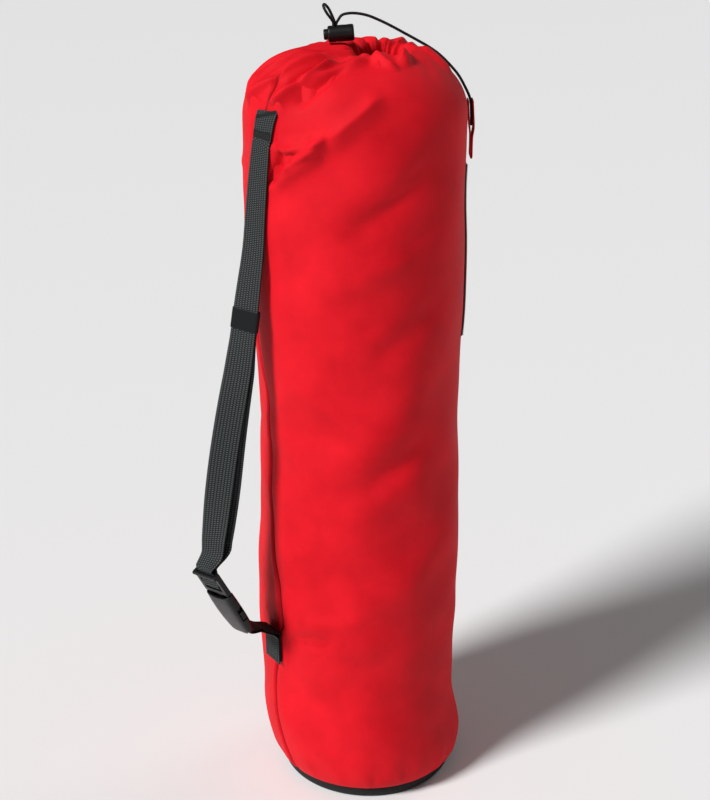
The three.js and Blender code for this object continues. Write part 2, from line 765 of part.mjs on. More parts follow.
function strapLabel() {
  const count = 4;
  const ringAt = (i, wall) => {
    const up = mix(labelUp + labelHalf, labelUp - labelHalf, i / count);
    const { at, across } = strapAt(up);
    const down = strapAt(up - 0.01).at.sub(strapAt(up + 0.01).at).normalize();
    const side = across.clone().addScaledVector(down, -across.dot(down)).normalize();
    const out = new THREE.Vector3().crossVectors(down, side);
    const middle = at.addScaledVector(out, -labelStep / 2);
    const halfWide = strapWide / 2 + clearance + wall;
    const halfThick = labelStep / 2 + strapThick / 2 + 1.5 * clearance + wall;
    const corner = (a, b) =>
      middle.clone().addScaledVector(side, a * halfWide).addScaledVector(out, b * halfThick);
    return [corner(-1, -1), corner(1, -1), corner(1, 1), corner(-1, 1)];
  };
  const rings = (wall) => Array.from({ length: count + 1 }, (_, i) => ringAt(i, wall));
  return sleeve(rings(labelWall), rings(0));
}

const tailBarX = buckleLong - tailBarInset;
const tailBarZ = -0.4;
const patchTop = patchHeight + patchLong / 2;
const patchFoot = patchHeight - patchLong / 2;

function lowerStrap() {
  const across = acrossAt(patchTurn);
  const onPatch = (height, layer) => ({
    at: sewnPoint(patchTurn, height, clearance + strapThick / 2 + layer * layerStep),
    across,
  });
  const tip = inBuckle(tailBarX, tailBarZ).at;
  const fold = onPatch(patchTop, 0).at;
  const run = tip.clone().sub(fold);
  const lean = new THREE.Vector3(run.x, 0, run.z).normalize();
  const upSide = new THREE.Vector3(-lean.z, 0, lean.x);
  if (upSide.z < 0) upSide.negate();
  const between = (share, layer) => ({
    at: fold.clone().addScaledVector(run, share).addScaledVector(upSide, layer),
    across: across.clone().lerp(buckleAcross, smooth(0, 1, share)),
  });
  const lower = [
    onPatch(patchFoot, 1),
    onPatch(patchHeight, 1),
    onPatch(patchTop - 5, 1),
    between(0.16, -1.9),
    between(0.4, -1.5),
    between(0.6, -1.9),
    inBuckle(buckleLong + 1, 1),
  ];
  const upper = [
    inBuckle(buckleLong + 1, -2.8),
    between(0.6, 1.2),
    between(0.4, 0.6),
    between(0.16, 0.9),
    onPatch(patchTop, 0),
    onPatch(patchTop - 4, 0),
    onPatch(patchHeight, 0),
    onPatch(patchFoot + 2, 0),
  ];
  const bend = roundBar(tailBarX, tailBarZ, wrapReach, 60, 300, 7);
  return webbing([...lower, ...bend, ...upper], strapWide, strapThick);
}

// A rounded oblong in the buckle's cross-section, as a ring at x.
function buckleRing(x, halfWide, low, high) {
  const count = 24;
  return Array.from({ length: count }, (_, i) => {
    const angle = (i / count) * 2 * Math.PI;
    const square = (value, power) => Math.sign(value) * Math.abs(value) ** power;
    const side = square(Math.cos(angle), 0.42);
    const lift = square(Math.sin(angle), 0.62);
    return new THREE.Vector3(x, halfWide * side, mix(low, high, (lift + 1) / 2));
  });
}

const railInside = strapWide / 2 + 2 * clearance;
const half = buckleWide / 2;
const armOutside = half - coverWall - 3 * clearance;
const windowFrom = coverAt + prongLong * 0.56;
const windowTo = windowFrom + 14;

function buckleProngs() {
  const pieces = [];
  for (const side of [-1, 1]) {
    const rail = [railInside * side, (railInside + railThick) * side].sort((a, b) => a - b);
    pieces.push(boxSolid([-2.2, rail[0], -2.4], [coverAt + 1.2, rail[1], 2.4]));
    const arm = [(armOutside - 3) * side, armOutside * side].sort((a, b) => a - b);
    pieces.push(boxSolid([coverAt, arm[0], -1.9], [windowTo - 3, arm[1], 1.9]));
    const head = [(armOutside - 1) * side, (half - 0.4) * side].sort((a, b) => a - b);
    pieces.push(boxSolid([windowFrom + 4.5, head[0], -2.2], [windowTo - 1, head[1], 2.2]));
  }
  const width = 2 * (railInside + railThick);
  pieces.push(barSolid(gripRadius, width, 0, gripRadius + 0.7));
  pieces.push(barSolid(wrapRadius, width - 2, wrapAt, 0));
  pieces.push(boxSolid([coverAt - 3, -width / 2, -2.4], [coverAt + 1.2, width / 2, 2.4]));
  pieces.push(boxSolid([coverAt, -3, -1.6], [coverAt + prongLong - 2, 3, 1.6]));
  return geometryOf(pieces.reduce((joined, piece) => joined.add(piece)));
}

function buckleCover() {
  const shape = [
    { at: 0, wide: 0.98, low: -0.44, high: 0.46 },
    { at: 0.2, wide: 1, low: -0.46, high: 0.52 },
    { at: 0.45, wide: 1, low: -0.46, high: 0.54 },
    { at: 0.65, wide: 0.96, low: -0.45, high: 0.52 },
    { at: 0.82, wide: 0.89, low: -0.44, high: 0.48 },
    { at: 0.94, wide: 0.82, low: -0.42, high: 0.44 },
    { at: 1, wide: 0.74, low: -0.3, high: 0.38 },
  ];
  const from = coverAt + 1.6;
  const rings = shape.map((row) =>
    buckleRing(mix(from, buckleLong, row.at), half * row.wide, row.low * buckleThick, row.high * buckleThick),
  );
  const cavityWide = half - coverWall;
  let cover = solidOf(loft(rings));
  cover = cover.subtract(boxSolid([from - 1, -cavityWide, -3], [coverAt + prongLong + 2, cavityWide, 3]));
  for (const side of [-1, 1]) {
    const window = [cavityWide * side - 0.5 * side, (half + 2) * side].sort((a, b) => a - b);
    cover = cover.subtract(boxSolid([windowFrom, window[0], -2.9], [windowTo, window[1], 2.9]));
  }
  const slotWide = strapWide / 2 + 2 * clearance;
  const slotFrom = tailBarX - wrapRadius - strapThick - 1;
  cover = cover.subtract(boxSolid([slotFrom, -slotWide, -buckleThick], [buckleLong + 2, slotWide, 3.5]));
  const tailBar = barSolid(wrapRadius, 2 * slotWide + 2, tailBarX, tailBarZ);
  return geometryOf(cover.add(tailBar));
}

// Highest cloth near a place seen from the front.
function clothTop(right, away, reach) {
  const middle = frontPoint(right, away, 0);
  let top = 0;
  for (let along = 0.86; along <= 1; along += 0.004) {
    for (let around = -180; around < 180; around += 3) {
      const point = bagPoint(around, along, 0);
      if (Math.hypot(point.x - middle.x, point.y - middle.y) < reach) top = Math.max(top, point.z);
    }
  }
  return top;
}

const lockHeight = clothTop(lockShift, 0, lockLong / 2) + clearance + lockRadius + 0.9;
const lockSpace = new THREE.Matrix4();
lockSpace.makeRotationAxis(frontPoint(0, 1, 0), rad(-lockTilt));
lockSpace.multiply(new THREE.Matrix4().makeRotationZ(rad(frontTurn)));
lockSpace.setPosition(frontPoint(lockShift, 0, lockHeight));
const inLock = (x, y, z) => new THREE.Vector3(x, y, z).applyMatrix4(lockSpace);

const cordRing = (cordThick / 2 + 0.16) * (2 / Math.sqrt(3)); // three cords in one round hole
const holeRadius = cordRing + cordThick / 2 + 0.25;
const boreRadius = lockRadius - lockWall;
const plungerRadius = boreRadius - clearance;

function lockBarrel() {
  const end = lockLong / 2;
  const soft = 1.6;
  const outside = [[-end, 0], [-end, lockRadius - soft], [-end + soft, lockRadius]];
  const barrel = turnedSolid([...outside, [end - soft, lockRadius], [end, lockRadius - soft], [end, 0]], 20);
  const bore = turnedSolid([[-end - 1, 0], [-end - 1, boreRadius], [end - 3, boreRadius], [end - 3, 0]], 20);
  const hole = new THREE.CylinderGeometry(holeRadius, holeRadius, 4 * lockRadius, 16);
  hole.rotateX(Math.PI / 2);
  hole.translate(cordHoleShift, 0, 0);
  return geometryOf(barrel.subtract(bore).subtract(solidOf(hole)));
}

function lockPlunger() {
  const [from, to] = [-lockLong / 2 - plungerShow, lockLong / 2 - 3 - springRoom];
  const rim = plungerRadius - 1;
  const outside = [[from, 0], [from, rim], [from + 1, plungerRadius], [to, plungerRadius], [to, 0]];
  const slot = boxSolid(
    [cordHoleShift - holeRadius - plungerTravel - 0.2, -holeRadius, -2 * lockRadius],
    [cordHoleShift + holeRadius, holeRadius, 2 * lockRadius],
  );
  return geometryOf(turnedSolid(outside, 20).subtract(slot));
}

function cordTube(points) {
  const curve = new THREE.CatmullRomCurve3(points, false, "centripetal");
  const shape = new THREE.Shape();
  for (let i = 0; i < cordSides; i++) {
    const angle = (i / cordSides) * 2 * Math.PI;
    const [x, y] = [(cordThick / 2) * Math.cos(angle), (cordThick / 2) * Math.sin(angle)];
    if (i === 0) shape.moveTo(x, y);
    else shape.lineTo(x, y);
  }
  const steps = Math.min(80, Math.round(curve.getLength() / (2.4 * cordThick)));
  return new THREE.ExtrudeGeometry(shape, { steps, extrudePath: curve, curveSegments: 1 });
}

// Where each cord stands in the hole, and how far down it reaches to the cloth.
function holeRun(turn) {
  const [x, y] = [cordHoleShift + cordRing * Math.cos(rad(turn)), cordRing * Math.sin(rad(turn))];
  const foot = -lockRadius + 0.4;
  return [inLock(x, y, foot), inLock(x, y, 0), inLock(x, y, lockRadius + 1.2)];
}

function drawLoop() {
  const top = inLock(cordHoleShift, 0, lockRadius);
  const spin = new THREE.Vector3(0.26, 0.97, 0).applyAxisAngle(new THREE.Vector3(0, 0, 1), rad(frontTurn));
  const side = (row, sign) =>
    top.clone().add(frontPoint(row.right, 0, row.up)).addScaledVector(spin, (sign * row.apart) / 2);
  const near = loopRise.map((row) => side(row, -1));
  const far = loopRise.map((row) => side(row, 1)).reverse();
  return cordTube([...holeRun(240), ...near, ...far, ...holeRun(120).reverse()]);
}

function drawCord() {
  return cordTube([...holeRun(0), ...cordRun.map((point) => frontPoint(...point))]);
}

// The tab is one strip folded double, with the cord's end between its two layers.
function pullTab() {
  const end = cordRun.at(-1);
  const grip = 22; // how much of the cord it holds
  const top = end[2] + grip;
  const split = cordThick / 2 + tabWall / 2 + clearance;
  const path = [
    { down: 0, off: split + 0.1 },
    { down: 0.22, off: split + 0.1 },
    { down: 0.46, off: split },
    { down: 0.62, off: tabWall / 2 + 0.35 },
    { down: 0.8, off: tabWall / 2 + 0.5 },
    { down: 0.93, off: tabWall / 2 + 1 },
    { down: 0.985, off: tabWall / 2 + 0.7 },
    { down: 1, off: 0 },
  ];
  const before = cordRun.at(-3);
  const slope = (end[0] - before[0]) / (before[2] - end[2]);
  const lean = (down) => end[0] - Math.max(grip - down * tabLong, 0) * slope;
  const layer = (row, sign) => frontPoint(lean(row.down) + sign * row.off, end[1], top - row.down * tabLong);
  const inner = path.map((row) => layer(row, -1));
  const outer = path.slice(0, -1).map((row) => layer(row, 1)).reverse();
  const across = frontPoint(0, 1, 0);
  return webbing([...inner, ...outer].map((at) => ({ at, across })), tabWide, tabWall);
}

const bag = new THREE.Group();
bag.add(part("bag_body", bagBody(), red, 0.75));
bag.add(part("base_panel", basePanel(), black, 0.9));
bag.add(part("side_pocket", sidePocket(), red, 0.75));
bag.add(part("pocket_zip", pocketZip(), black, 0.6));
bag.add(part("strap_upper", upperStrap(), black, 0.8));
bag.add(part("strap_label", strapLabel(), black, 0.5));
bag.add(part("strap_lower", lowerStrap(), black, 0.8));

const buckle = new THREE.Group();
buckle.applyMatrix4(buckleSpace);
buckle.add(part("buckle_prongs", buckleProngs(), black, 0.45));
buckle.add(part("buckle_cover", buckleCover(), black, 0.4));
bag.add(buckle);

const lock = new THREE.Group();
lock.applyMatrix4(lockSpace);
lock.add(part("cord_lock_barrel", lockBarrel(), black, 0.45));
lock.add(part("cord_lock_plunger", lockPlunger(), black, 0.45));
bag.add(lock);

bag.add(part("draw_loop", drawLoop(), black, 0.85));
bag.add(part("draw_cord", drawCord(), black, 0.85));
bag.add(part("pull_tab", pullTab(), darkRed, 0.75));

export default bag;
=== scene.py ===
# %% [markdown]
# # Dressing a drawstring mat bag
#
# The bag is a tall tube of red woven cloth that holds a rolled exercise mat. Its top is gathered by a
# cord with a sprung lock, its bottom is closed by a ribbed mesh panel, and a webbing strap with a
# side-release buckle runs down its seam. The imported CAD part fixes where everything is. This lesson
# builds the surfaces that are seen: cloth with folds, webbing with its ribs, moulded plastic, and
# braided cord. Lengths are in metres, and angles in degrees unless a name says otherwise.

# %% Load the frame
import math

import bpy
import numpy as np
from mathutils import Matrix, Vector


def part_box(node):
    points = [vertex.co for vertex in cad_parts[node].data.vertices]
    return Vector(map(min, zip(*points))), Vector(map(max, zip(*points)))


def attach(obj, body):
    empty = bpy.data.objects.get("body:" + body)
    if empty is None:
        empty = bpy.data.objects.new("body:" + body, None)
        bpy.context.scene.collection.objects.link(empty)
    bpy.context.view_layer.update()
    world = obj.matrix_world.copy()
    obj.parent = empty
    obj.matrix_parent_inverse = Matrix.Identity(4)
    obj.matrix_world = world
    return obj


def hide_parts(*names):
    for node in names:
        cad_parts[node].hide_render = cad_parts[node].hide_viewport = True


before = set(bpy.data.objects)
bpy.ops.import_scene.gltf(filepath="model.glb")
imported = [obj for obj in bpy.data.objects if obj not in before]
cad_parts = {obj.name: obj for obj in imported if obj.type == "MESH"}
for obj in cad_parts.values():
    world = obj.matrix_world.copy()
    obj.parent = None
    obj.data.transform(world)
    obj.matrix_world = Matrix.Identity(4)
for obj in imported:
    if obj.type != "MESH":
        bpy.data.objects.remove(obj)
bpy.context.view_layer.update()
scene = bpy.context.scene

# %% [markdown]
# ## The camera
#
# The photograph looks at the bag a little from above, with the seam and the strap on the left. The
# part's -X side carries the seam, so the front is turned by front_turn. A camera could be aimed by a
# constraint, but plain numbers solved from the photograph's outline keep it exactly repeatable.

# %% Camera
front_turn = -34.0


def front_point(right, away, up):
    """A place as seen from the bag's front, as a point of the part."""
    turn = math.radians(front_turn)
    x = right * math.cos(turn) - away * math.sin(turn)
    y = right * math.sin(turn) + away * math.cos(turn)
    return Vector((x, y, up))


camera_data = bpy.data.cameras.new("photo_camera")
camera_data.lens = 68.85
camera_data.sensor_width = 36.0
camera = bpy.data.objects.new("photo_camera", camera_data)
scene.collection.objects.link(camera)
camera.location = front_point(-0.003, -1.3, 0.9)
camera.rotation_euler = (math.radians(68.1), 0.0, math.radians(front_turn))
scene.camera = camera
print("camera at", [round(v, 3) for v in camera.location])

# %% [markdown]
# ## Curves through a few listed rows
#
# The tube's girth, the strap's hang and the seam's wander are each described by a handful of values.
# A smooth curve through them could come from a library, but numpy alone is enough: each stretch is a
# cubic whose slopes are taken from the neighbouring rows.


# %% Smooth curves and angles
def smooth(low, high, value):
    """0 below low, 1 above high, and a soft step between."""
    t = np.clip((value - low) / (high - low), 0.0, 1.0)
    return t * t * (3 - 2 * t)


def curve_of(rows):
    """A smooth function through rows of (place, value), in rising order."""
    xs = np.array([row[0] for row in rows], float)
    ys = np.array([row[1] for row in rows], float)
    before = np.maximum(np.arange(len(xs)) - 1, 0)
    after = np.minimum(np.arange(len(xs)) + 1, len(xs) - 1)
    slopes = (ys[after] - ys[before]) / (xs[after] - xs[before])

    def at(place):
        x = np.clip(place, xs[0], xs[-1])
        i = np.clip(np.searchsorted(xs, x, side="left"), 1, len(xs) - 1)
        span = xs[i] - xs[i - 1]
        t = (x - xs[i - 1]) / span
        value = ys[i - 1] * (1 + 2 * t) * (1 - t) ** 2 + ys[i] * t * t * (3 - 2 * t)
        bend = slopes[i - 1] * t * (1 - t) ** 2 - slopes[i] * t * t * (1 - t)
        return value + span * bend

    return at


def half_turn(degrees):
    """The same angle between -180 and 180."""
    return (np.asarray(degrees, float) + 180) % 360 - 180


# %% [markdown]
# ## The outline of the cloth tube
#
# The cloth rises from the seam with the base panel, rounds the lower corner, stands nearly straight
# up, turns in over the shoulder to the crest of the gathers, and dips into the mouth. The outline is
# kept as fine steps with their length, so that any place on the cloth is a share of that length.

# %% Outline
bag_height = 0.6975
bag_radius = 0.094
cloth_wall = 0.0016
clearance = 0.0003
foot_radius = 0.0835
base_rim = 0.0118
heel_height = 0.038
shoulder_height = 0.058
crest_radius = 0.030
funnel_depth = 0.024
mouth_radius = 0.0155
crest_round = 0.009
cloth_foot = base_rim + clearance
heel_top = cloth_foot + heel_height
shoulder_foot = bag_height - shoulder_height

girth_at = curve_of([(0, 1.0), (0.09, 0.982), (0.26, 0.996), (0.425, 0.979), (0.595, 0.986),
                     (0.76, 1.03), (0.93, 1.014), (1, 1.006)])


def make_outline():
    """Radius, height and share of the length, along the cloth from the base seam to the hem."""
    turn = np.linspace(0, math.pi / 2, 25)
    up = np.linspace(0, 1, 61)[1:]
    heel, shoulder = girth_at(0) * bag_radius, girth_at(1) * bag_radius
    radius = np.concatenate([
        foot_radius + (heel - foot_radius) * np.sin(turn),
        girth_at(up) * bag_radius,
        crest_radius + (shoulder - crest_radius) * np.cos(turn[1:]),
        crest_radius - crest_round * np.sin(turn[1:]),
        [mouth_radius],
    ])
    height = np.concatenate([
        heel_top - heel_height * np.cos(turn),
        heel_top + (shoulder_foot - heel_top) * up,
        shoulder_foot + shoulder_height * np.sin(turn[1:]),
        bag_height - funnel_depth / 2 * (1 - np.cos(turn[1:])),
        [bag_height - funnel_depth],
    ])
    steps = np.hypot(np.diff(radius), np.diff(height))
    long = np.concatenate([[0.0], np.cumsum(steps)])
    return radius, height, long / long[-1], long[-1]


outline_radius, outline_height, outline_along, outline_long = make_outline()
crest_step = int(np.argmax(outline_height))
crest_along = outline_along[crest_step]
shoulder_start = outline_along[np.argmax(outline_height >= shoulder_foot - 1e-9)]
print(f"the cloth is {outline_long * 1000:.0f} mm long from the base seam to the hem")


# %% Places on the outline
def along_at(height):
    """The share of the outline at which its outside reaches this height."""
    return np.interp(height, outline_height[:crest_step + 1], outline_along[:crest_step + 1])


def outline_at(along):
    """Radius and height, and how much of the outward direction points out and up."""
    def radius_height(share):
        return (np.interp(share, outline_along, outline_radius),
                np.interp(share, outline_along, outline_height))

    radius, height = radius_height(along)
    r0, h0 = radius_height(np.maximum(along - 0.004, 0))
    r1, h1 = radius_height(np.minimum(along + 0.004, 1))
    size = np.hypot(r1 - r0, h1 - h0)
    return radius, height, (h1 - h0) / size, -(r1 - r0) / size


def gathered(along):
    """How far the outline has turned in from the shoulder to the crest, from 0 to 1."""
    shoulder = girth_at(1) * bag_radius
    share = (shoulder - np.interp(along, outline_along, outline_radius)) / (shoulder - crest_radius)
    return np.where(along <= shoulder_start, 0, np.where(along >= crest_along, 1, np.clip(share, 0, 1)))


# %% [markdown]
# ## Where the tube leans, and where its seam wanders
#
# A soft bag never stands quite straight: the foot lies a little to the right, the shoulder a little to
# the left, and the mouth is pulled to the right. The seam twists with the cloth. The lean is the CAD
# part's own. The seam's wander, the foot's radius, the rim and the girth near the foot differ from the
# solid by a few degrees or millimetres, to follow the photograph more closely.

# %% Lean and seam
foot_shift, shoulder_shift, mouth_shift = 0.0092, -0.0033, 0.016
lip_dip = 0.008
pleat_tall, pleat_count = 0.0022, 15
pucker_tall, pucker_count = 0.0011, 20
wave_tall = 0.0013

wander_at = curve_of([(0, 4), (0.08, 0), (0.13, -3.5), (0.17, 0), (0.24, 7), (0.31, 2), (0.39, -3),
                      (0.5, -6), (0.58, -12), (0.7, -10), (0.77, -5), (0.84, 4), (0.93, 4), (1, 0)])


def ring_shift(along, height):
    """Sideways shift of a ring of the cloth, right as seen from the front."""
    foot = foot_shift * (1 - smooth(cloth_foot, heel_top * 1.6, height))
    shoulder = shoulder_shift * smooth(0.62 * bag_height, 0.86 * bag_height, height)
    return foot + shoulder + (mouth_shift - shoulder_shift) * gathered(along) ** 2.5


def seam_turn(around, along):
    """Degrees that the cloth near the seam is twisted by."""
    away = np.abs(half_turn(around))
    near = 0.5 * (1 + np.cos(np.pi * away / 60))
    return np.where(away > 60, 0, wander_at(along) * near)


# %% [markdown]
# ## Folds
#
# Each fold is a soft ridge or dent along a line on the cloth. Its row says where the line starts and
# ends, in degrees round from the seam and as a share of the outline, and how wide and tall it is in
# shares of the bag's radius. The first rows are the main folds that the CAD part has too. The later
# ones are finer creases that only the cloth shows: they have a narrower, sharper crest.

# %% Fold rows
# around, along, to around, to along, wide, tall
main_folds = [
    (100, 0.93, 60, 0.948, 0.08, 0.045), (60, 0.948, 22, 0.885, 0.075, 0.05),
    (22, 0.885, 8, 0.85, 0.08, 0.04), (44, 0.93, 10, 0.875, 0.05, -0.03),
    (8, 0.94, -14, 0.85, 0.07, 0.045), (-6, 0.93, -24, 0.87, 0.06, -0.03),
    (-34, 0.945, -30, 0.86, 0.08, 0.035), (106, 0.955, 92, 0.915, 0.06, 0.04),
    (118, 0.95, 112, 0.89, 0.08, -0.012), (150, 0.94, 136, 0.885, 0.08, 0.03),
    (172, 0.945, 178, 0.87, 0.07, -0.035), (198, 0.95, 204, 0.86, 0.08, 0.04),
    (226, 0.945, 236, 0.87, 0.07, -0.03), (254, 0.95, 262, 0.86, 0.08, 0.04),
    (290, 0.945, 302, 0.88, 0.07, -0.03), (18, 0.812, 42, 0.828, 0.07, 0.045),
    (40, 0.818, 10, 0.772, 0.07, 0.035), (20, 0.8, 10, 0.775, 0.05, -0.045),
    (72, 0.88, 40, 0.82, 0.1, 0.025), (98, 0.8, 50, 0.72, 0.12, -0.025),
    (104, 0.64, 62, 0.58, 0.12, -0.02), (40, 0.66, 84, 0.7, 0.12, 0.02),
    (96, 0.48, 60, 0.42, 0.12, -0.02), (12, 0.205, 42, 0.216, 0.05, -0.03),
    (24, 0.235, 60, 0.25, 0.07, 0.02),
]
creases = [
    (86, 0.912, 58, 0.95, 0.04, 0.05), (60, 0.95, 26, 0.952, 0.036, 0.04),
    (32, 0.932, 25, 0.888, 0.04, 0.07), (26, 0.894, 10, 0.852, 0.04, 0.06),
    (27, 0.948, 11, 0.882, 0.038, -0.07), (15, 0.942, 4, 0.888, 0.036, 0.055),
    (5, 0.892, -12, 0.856, 0.038, 0.05), (1, 0.94, -11, 0.872, 0.038, -0.06),
    (-14, 0.945, -18, 0.872, 0.038, 0.055), (-30, 0.94, -30, 0.875, 0.04, -0.045),
    (48, 0.925, 24, 0.862, 0.06, -0.045), (104, 0.964, 90, 0.925, 0.028, 0.026),
    (14, 0.816, 33, 0.819, 0.03, 0.03), (31, 0.819, 42, 0.833, 0.03, 0.04),
    (39, 0.822, 25, 0.803, 0.03, 0.034), (26, 0.804, 9, 0.776, 0.028, 0.034),
    (20, 0.808, 37, 0.826, 0.034, -0.03), (19, 0.816, 9, 0.776, 0.036, -0.055),
    (140, 0.935, 135, 0.9, 0.026, 0.014), (70, 0.878, 44, 0.832, 0.05, 0.02),
    (13, 0.212, 34, 0.219, 0.02, -0.012), (22, 0.196, 58, 0.186, 0.026, -0.008),
    (20, 0.188, 46, 0.176, 0.022, 0.006), (7, 0.262, 20, 0.272, 0.02, 0.008),
    (-6, 0.268, -16, 0.25, 0.024, -0.016), (-4, 0.235, -18, 0.225, 0.02, 0.012),
    (62, 0.76, 96, 0.79, 0.05, 0.008), (70, 0.70, 104, 0.735, 0.055, -0.008),
    (34, 0.60, 70, 0.628, 0.06, -0.008), (30, 0.53, 64, 0.51, 0.06, 0.007),
    (70, 0.38, 104, 0.36, 0.06, -0.008), (36, 0.33, 74, 0.315, 0.055, 0.008),
    (214, 0.93, 220, 0.88, 0.026, 0.016), (240, 0.94, 250, 0.885, 0.026, -0.016),
    (276, 0.94, 284, 0.885, 0.026, 0.018), (310, 0.94, 318, 0.89, 0.026, -0.014),
    (182, 0.94, 190, 0.885, 0.026, 0.016), (160, 0.94, 166, 0.895, 0.026, -0.014),
    (250, 0.6, 290, 0.64, 0.09, 0.014), (230, 0.42, 276, 0.38, 0.09, -0.014),
    (280, 0.3, 320, 0.27, 0.08, 0.012), (190, 0.3, 232, 0.27, 0.09, 0.014),
    (200, 0.5, 240, 0.54, 0.09, -0.012), (300, 0.5, 336, 0.46, 0.08, -0.012),
    (246, 0.76, 290, 0.8, 0.09, -0.016), (300, 0.74, 332, 0.79, 0.07, 0.016),
]
print(len(main_folds), "main folds,", len(creases), "finer creases")


def fold_relief(turn, along, radius, rows, sharp):
    """Height of the cloth above the smooth tube, from rows of folds."""
    relief = np.zeros(np.broadcast(turn, along).shape)
    for around, start, to_around, end, wide, tall in rows:
        middle = (around + to_around) / 2
        px = np.radians(half_turn(turn - middle)) * radius
        py = along * outline_long
        ax, ay = np.radians(around - middle) * radius, start * outline_long
        bx, by = np.radians(to_around - middle) * radius, end * outline_long
        dx, dy = bx - ax, by - ay
        t = ((px - ax) * dx + (py - ay) * dy) / (dx * dx + dy * dy)
        held = np.clip(t, 0, 1)
        off = np.hypot(px - ax - held * dx, py - ay - held * dy) / (wide * bag_radius)
        taper = smooth(-0.1, 0.25, t) * smooth(-0.1, 0.25, 1 - t)
        crest = np.exp(1 - np.sqrt(1 + 4 * off * off)) if sharp else np.exp(-off * off)
        relief += np.where(off > (5 if sharp else 2.5), 0, tall * bag_radius * taper * crest)
    return relief


# %% [markdown]
# ## The cloth's surface as one function
#
# Everything that is sewn to the bag asks the same function for its place, so the strap's patches, the
# pocket and the zip follow each fold. Under a sewn patch the cloth is held flat.

# %% Surface of the cloth
camera_turn = 56.0
smooth_side = 135  # the side where the gathers end in one smooth lobe
strap_wide, strap_thick = 0.025, 0.0015
anchor_long, anchor_height, anchor_turn, anchor_lean = 0.027, 0.6445, 5.5, 4
patch_long, patch_height, patch_turn = 0.031, 0.151, -1
fold_share, crease_share, pucker_share = 1.3, 1.2, 0.7
seam_gap = 0.0008


def sewn_flat(turn, along):
    """1 where the cloth lies smooth under a sewn patch, fading to 0 round it."""
    half = math.degrees(strap_wide / 2 / bag_radius)
    flat = 0.0
    for at_turn, height, long in ((anchor_turn, anchor_height, anchor_long),
                                  (patch_turn, patch_height, patch_long)):
        side = np.abs(half_turn(turn - at_turn)) / half
        rise = np.abs(along - along_at(height)) * outline_long / (long / 2)
        flat = np.maximum(flat, (1 - smooth(1.1, 1.6, side)) * (1 - smooth(1.05, 1.4, rise)))
    return flat


# %% Gathers, puckers and the seam's crease
def outside_lobe(turn):
    """How much of the pleats shows: nearly none on the smooth lobe, and all of it far from there."""
    return 1 - 0.85 * np.exp(-((half_turn(turn - smooth_side) / 42) ** 2))


def seam_fade(along):
    """1 down the tube, fading to 0 where the seam runs into the gathers."""
    return 1 - smooth(0.86, 0.93, along)


def fine_gathers(turn, along):
    """Small uneven pleats at the mouth and puckers over the base seam."""
    uneven = np.radians(turn)
    mouth = np.cos(31 * uneven + 2.2 * np.sin(3 * uneven + 1)) * 0.0006 * smooth(0.93, 0.985, along)
    mouth += np.cos(22 * uneven + 3 * np.sin(2 * uneven)) * 0.0007 * smooth(0.9, 0.96, along)
    near = 0.6 * (1 - smooth(0.0, 0.045, along)) * smooth(0, 0.02, along)
    foot = (np.cos(47 * uneven + 2.5 * np.sin(5 * uneven)) * 0.0005
            + np.cos(29 * uneven + 3 * np.sin(3 * uneven + 2)) * 0.0006) * near
    return mouth * outside_lobe(turn) + foot


def seam_puckers(around, along):
    """Short ripples that the seam's stitching pulls into the cloth on both sides of it."""
    off = np.radians(half_turn(around)) * bag_radius
    ripple = np.sin(along * 470 + 1.5 * np.sin(along * 61)) * np.sin(along * 131 + 1)
    return 0.00035 * ripple * np.exp(-np.abs(off) / 0.006) * smooth(0.0008, 0.003, np.abs(off))


def seam_profile(off):
    """A tight crease where two edges are sewn together, with the seam's ridge on its left."""
    crease = 0.0027 * np.exp(-np.abs(off) / seam_gap)
    dip = 0.0008 * np.exp(-((off / 0.0045) ** 2))
    ridge = 0.0009 * np.exp(-(((off + 0.0032) / 0.0016) ** 2))
    return ridge - crease - dip


# %% Soft unevenness
def cubic_weights(t):
    """Weights of four neighbours for a smooth value between the middle two."""
    return np.stack([-0.5 * t + t**2 - 0.5 * t**3, 1 - 2.5 * t**2 + 1.5 * t**3,
                     0.5 * t + 2 * t**2 - 1.5 * t**3, -0.5 * t**2 + 0.5 * t**3])


def smooth_field(grid):
    """A smooth function over the cloth from a grid of heights (along, around)."""
    rows, columns = grid.shape

    def at(around, along):
        around, along = np.broadcast_arrays(np.asarray(around, float), np.asarray(along, float))
        x, y = (around % 360) / 360 * columns, np.clip(along, 0, 1) * (rows - 1)
        i, j = np.floor(x).astype(int), np.floor(y).astype(int)
        wx, wy = cubic_weights(x - i), cubic_weights(y - j)
        height = np.zeros(x.shape)
        for b in range(4):
            row = np.clip(j + b - 1, 0, rows - 1)
            for a in range(4):
                height += wx[a] * wy[b] * grid[row, (i + a - 1) % columns]
        return height

    return at


chance = np.random.default_rng(7)
broad_field = smooth_field(chance.normal(0, 1, (15, 9)))
small_field = smooth_field(chance.normal(0, 1, (34, 21)))
print(f"unevenness at the middle of the front: {float(broad_field(camera_turn, 0.5)):.2f}")


def soft_unevenness(around, along):
    """Hollows and swells of a few centimetres, where the mat's turns press on the cloth."""
    slant = around + 110 * along
    swell = 0.0017 * broad_field(slant, along) + 0.0006 * small_field(slant, along)
    return swell * smooth(0.02, 0.1, along) * (1 - smooth(0.86, 0.94, along))


def outline_calm(turn):
    """Less unevenness at the two sides that make the photograph's outline."""
    return 1 - 0.75 * np.sin(np.radians(turn - camera_turn)) ** 4


# %% Height of the cloth
cloth_sag = []  # filled by the simulation below


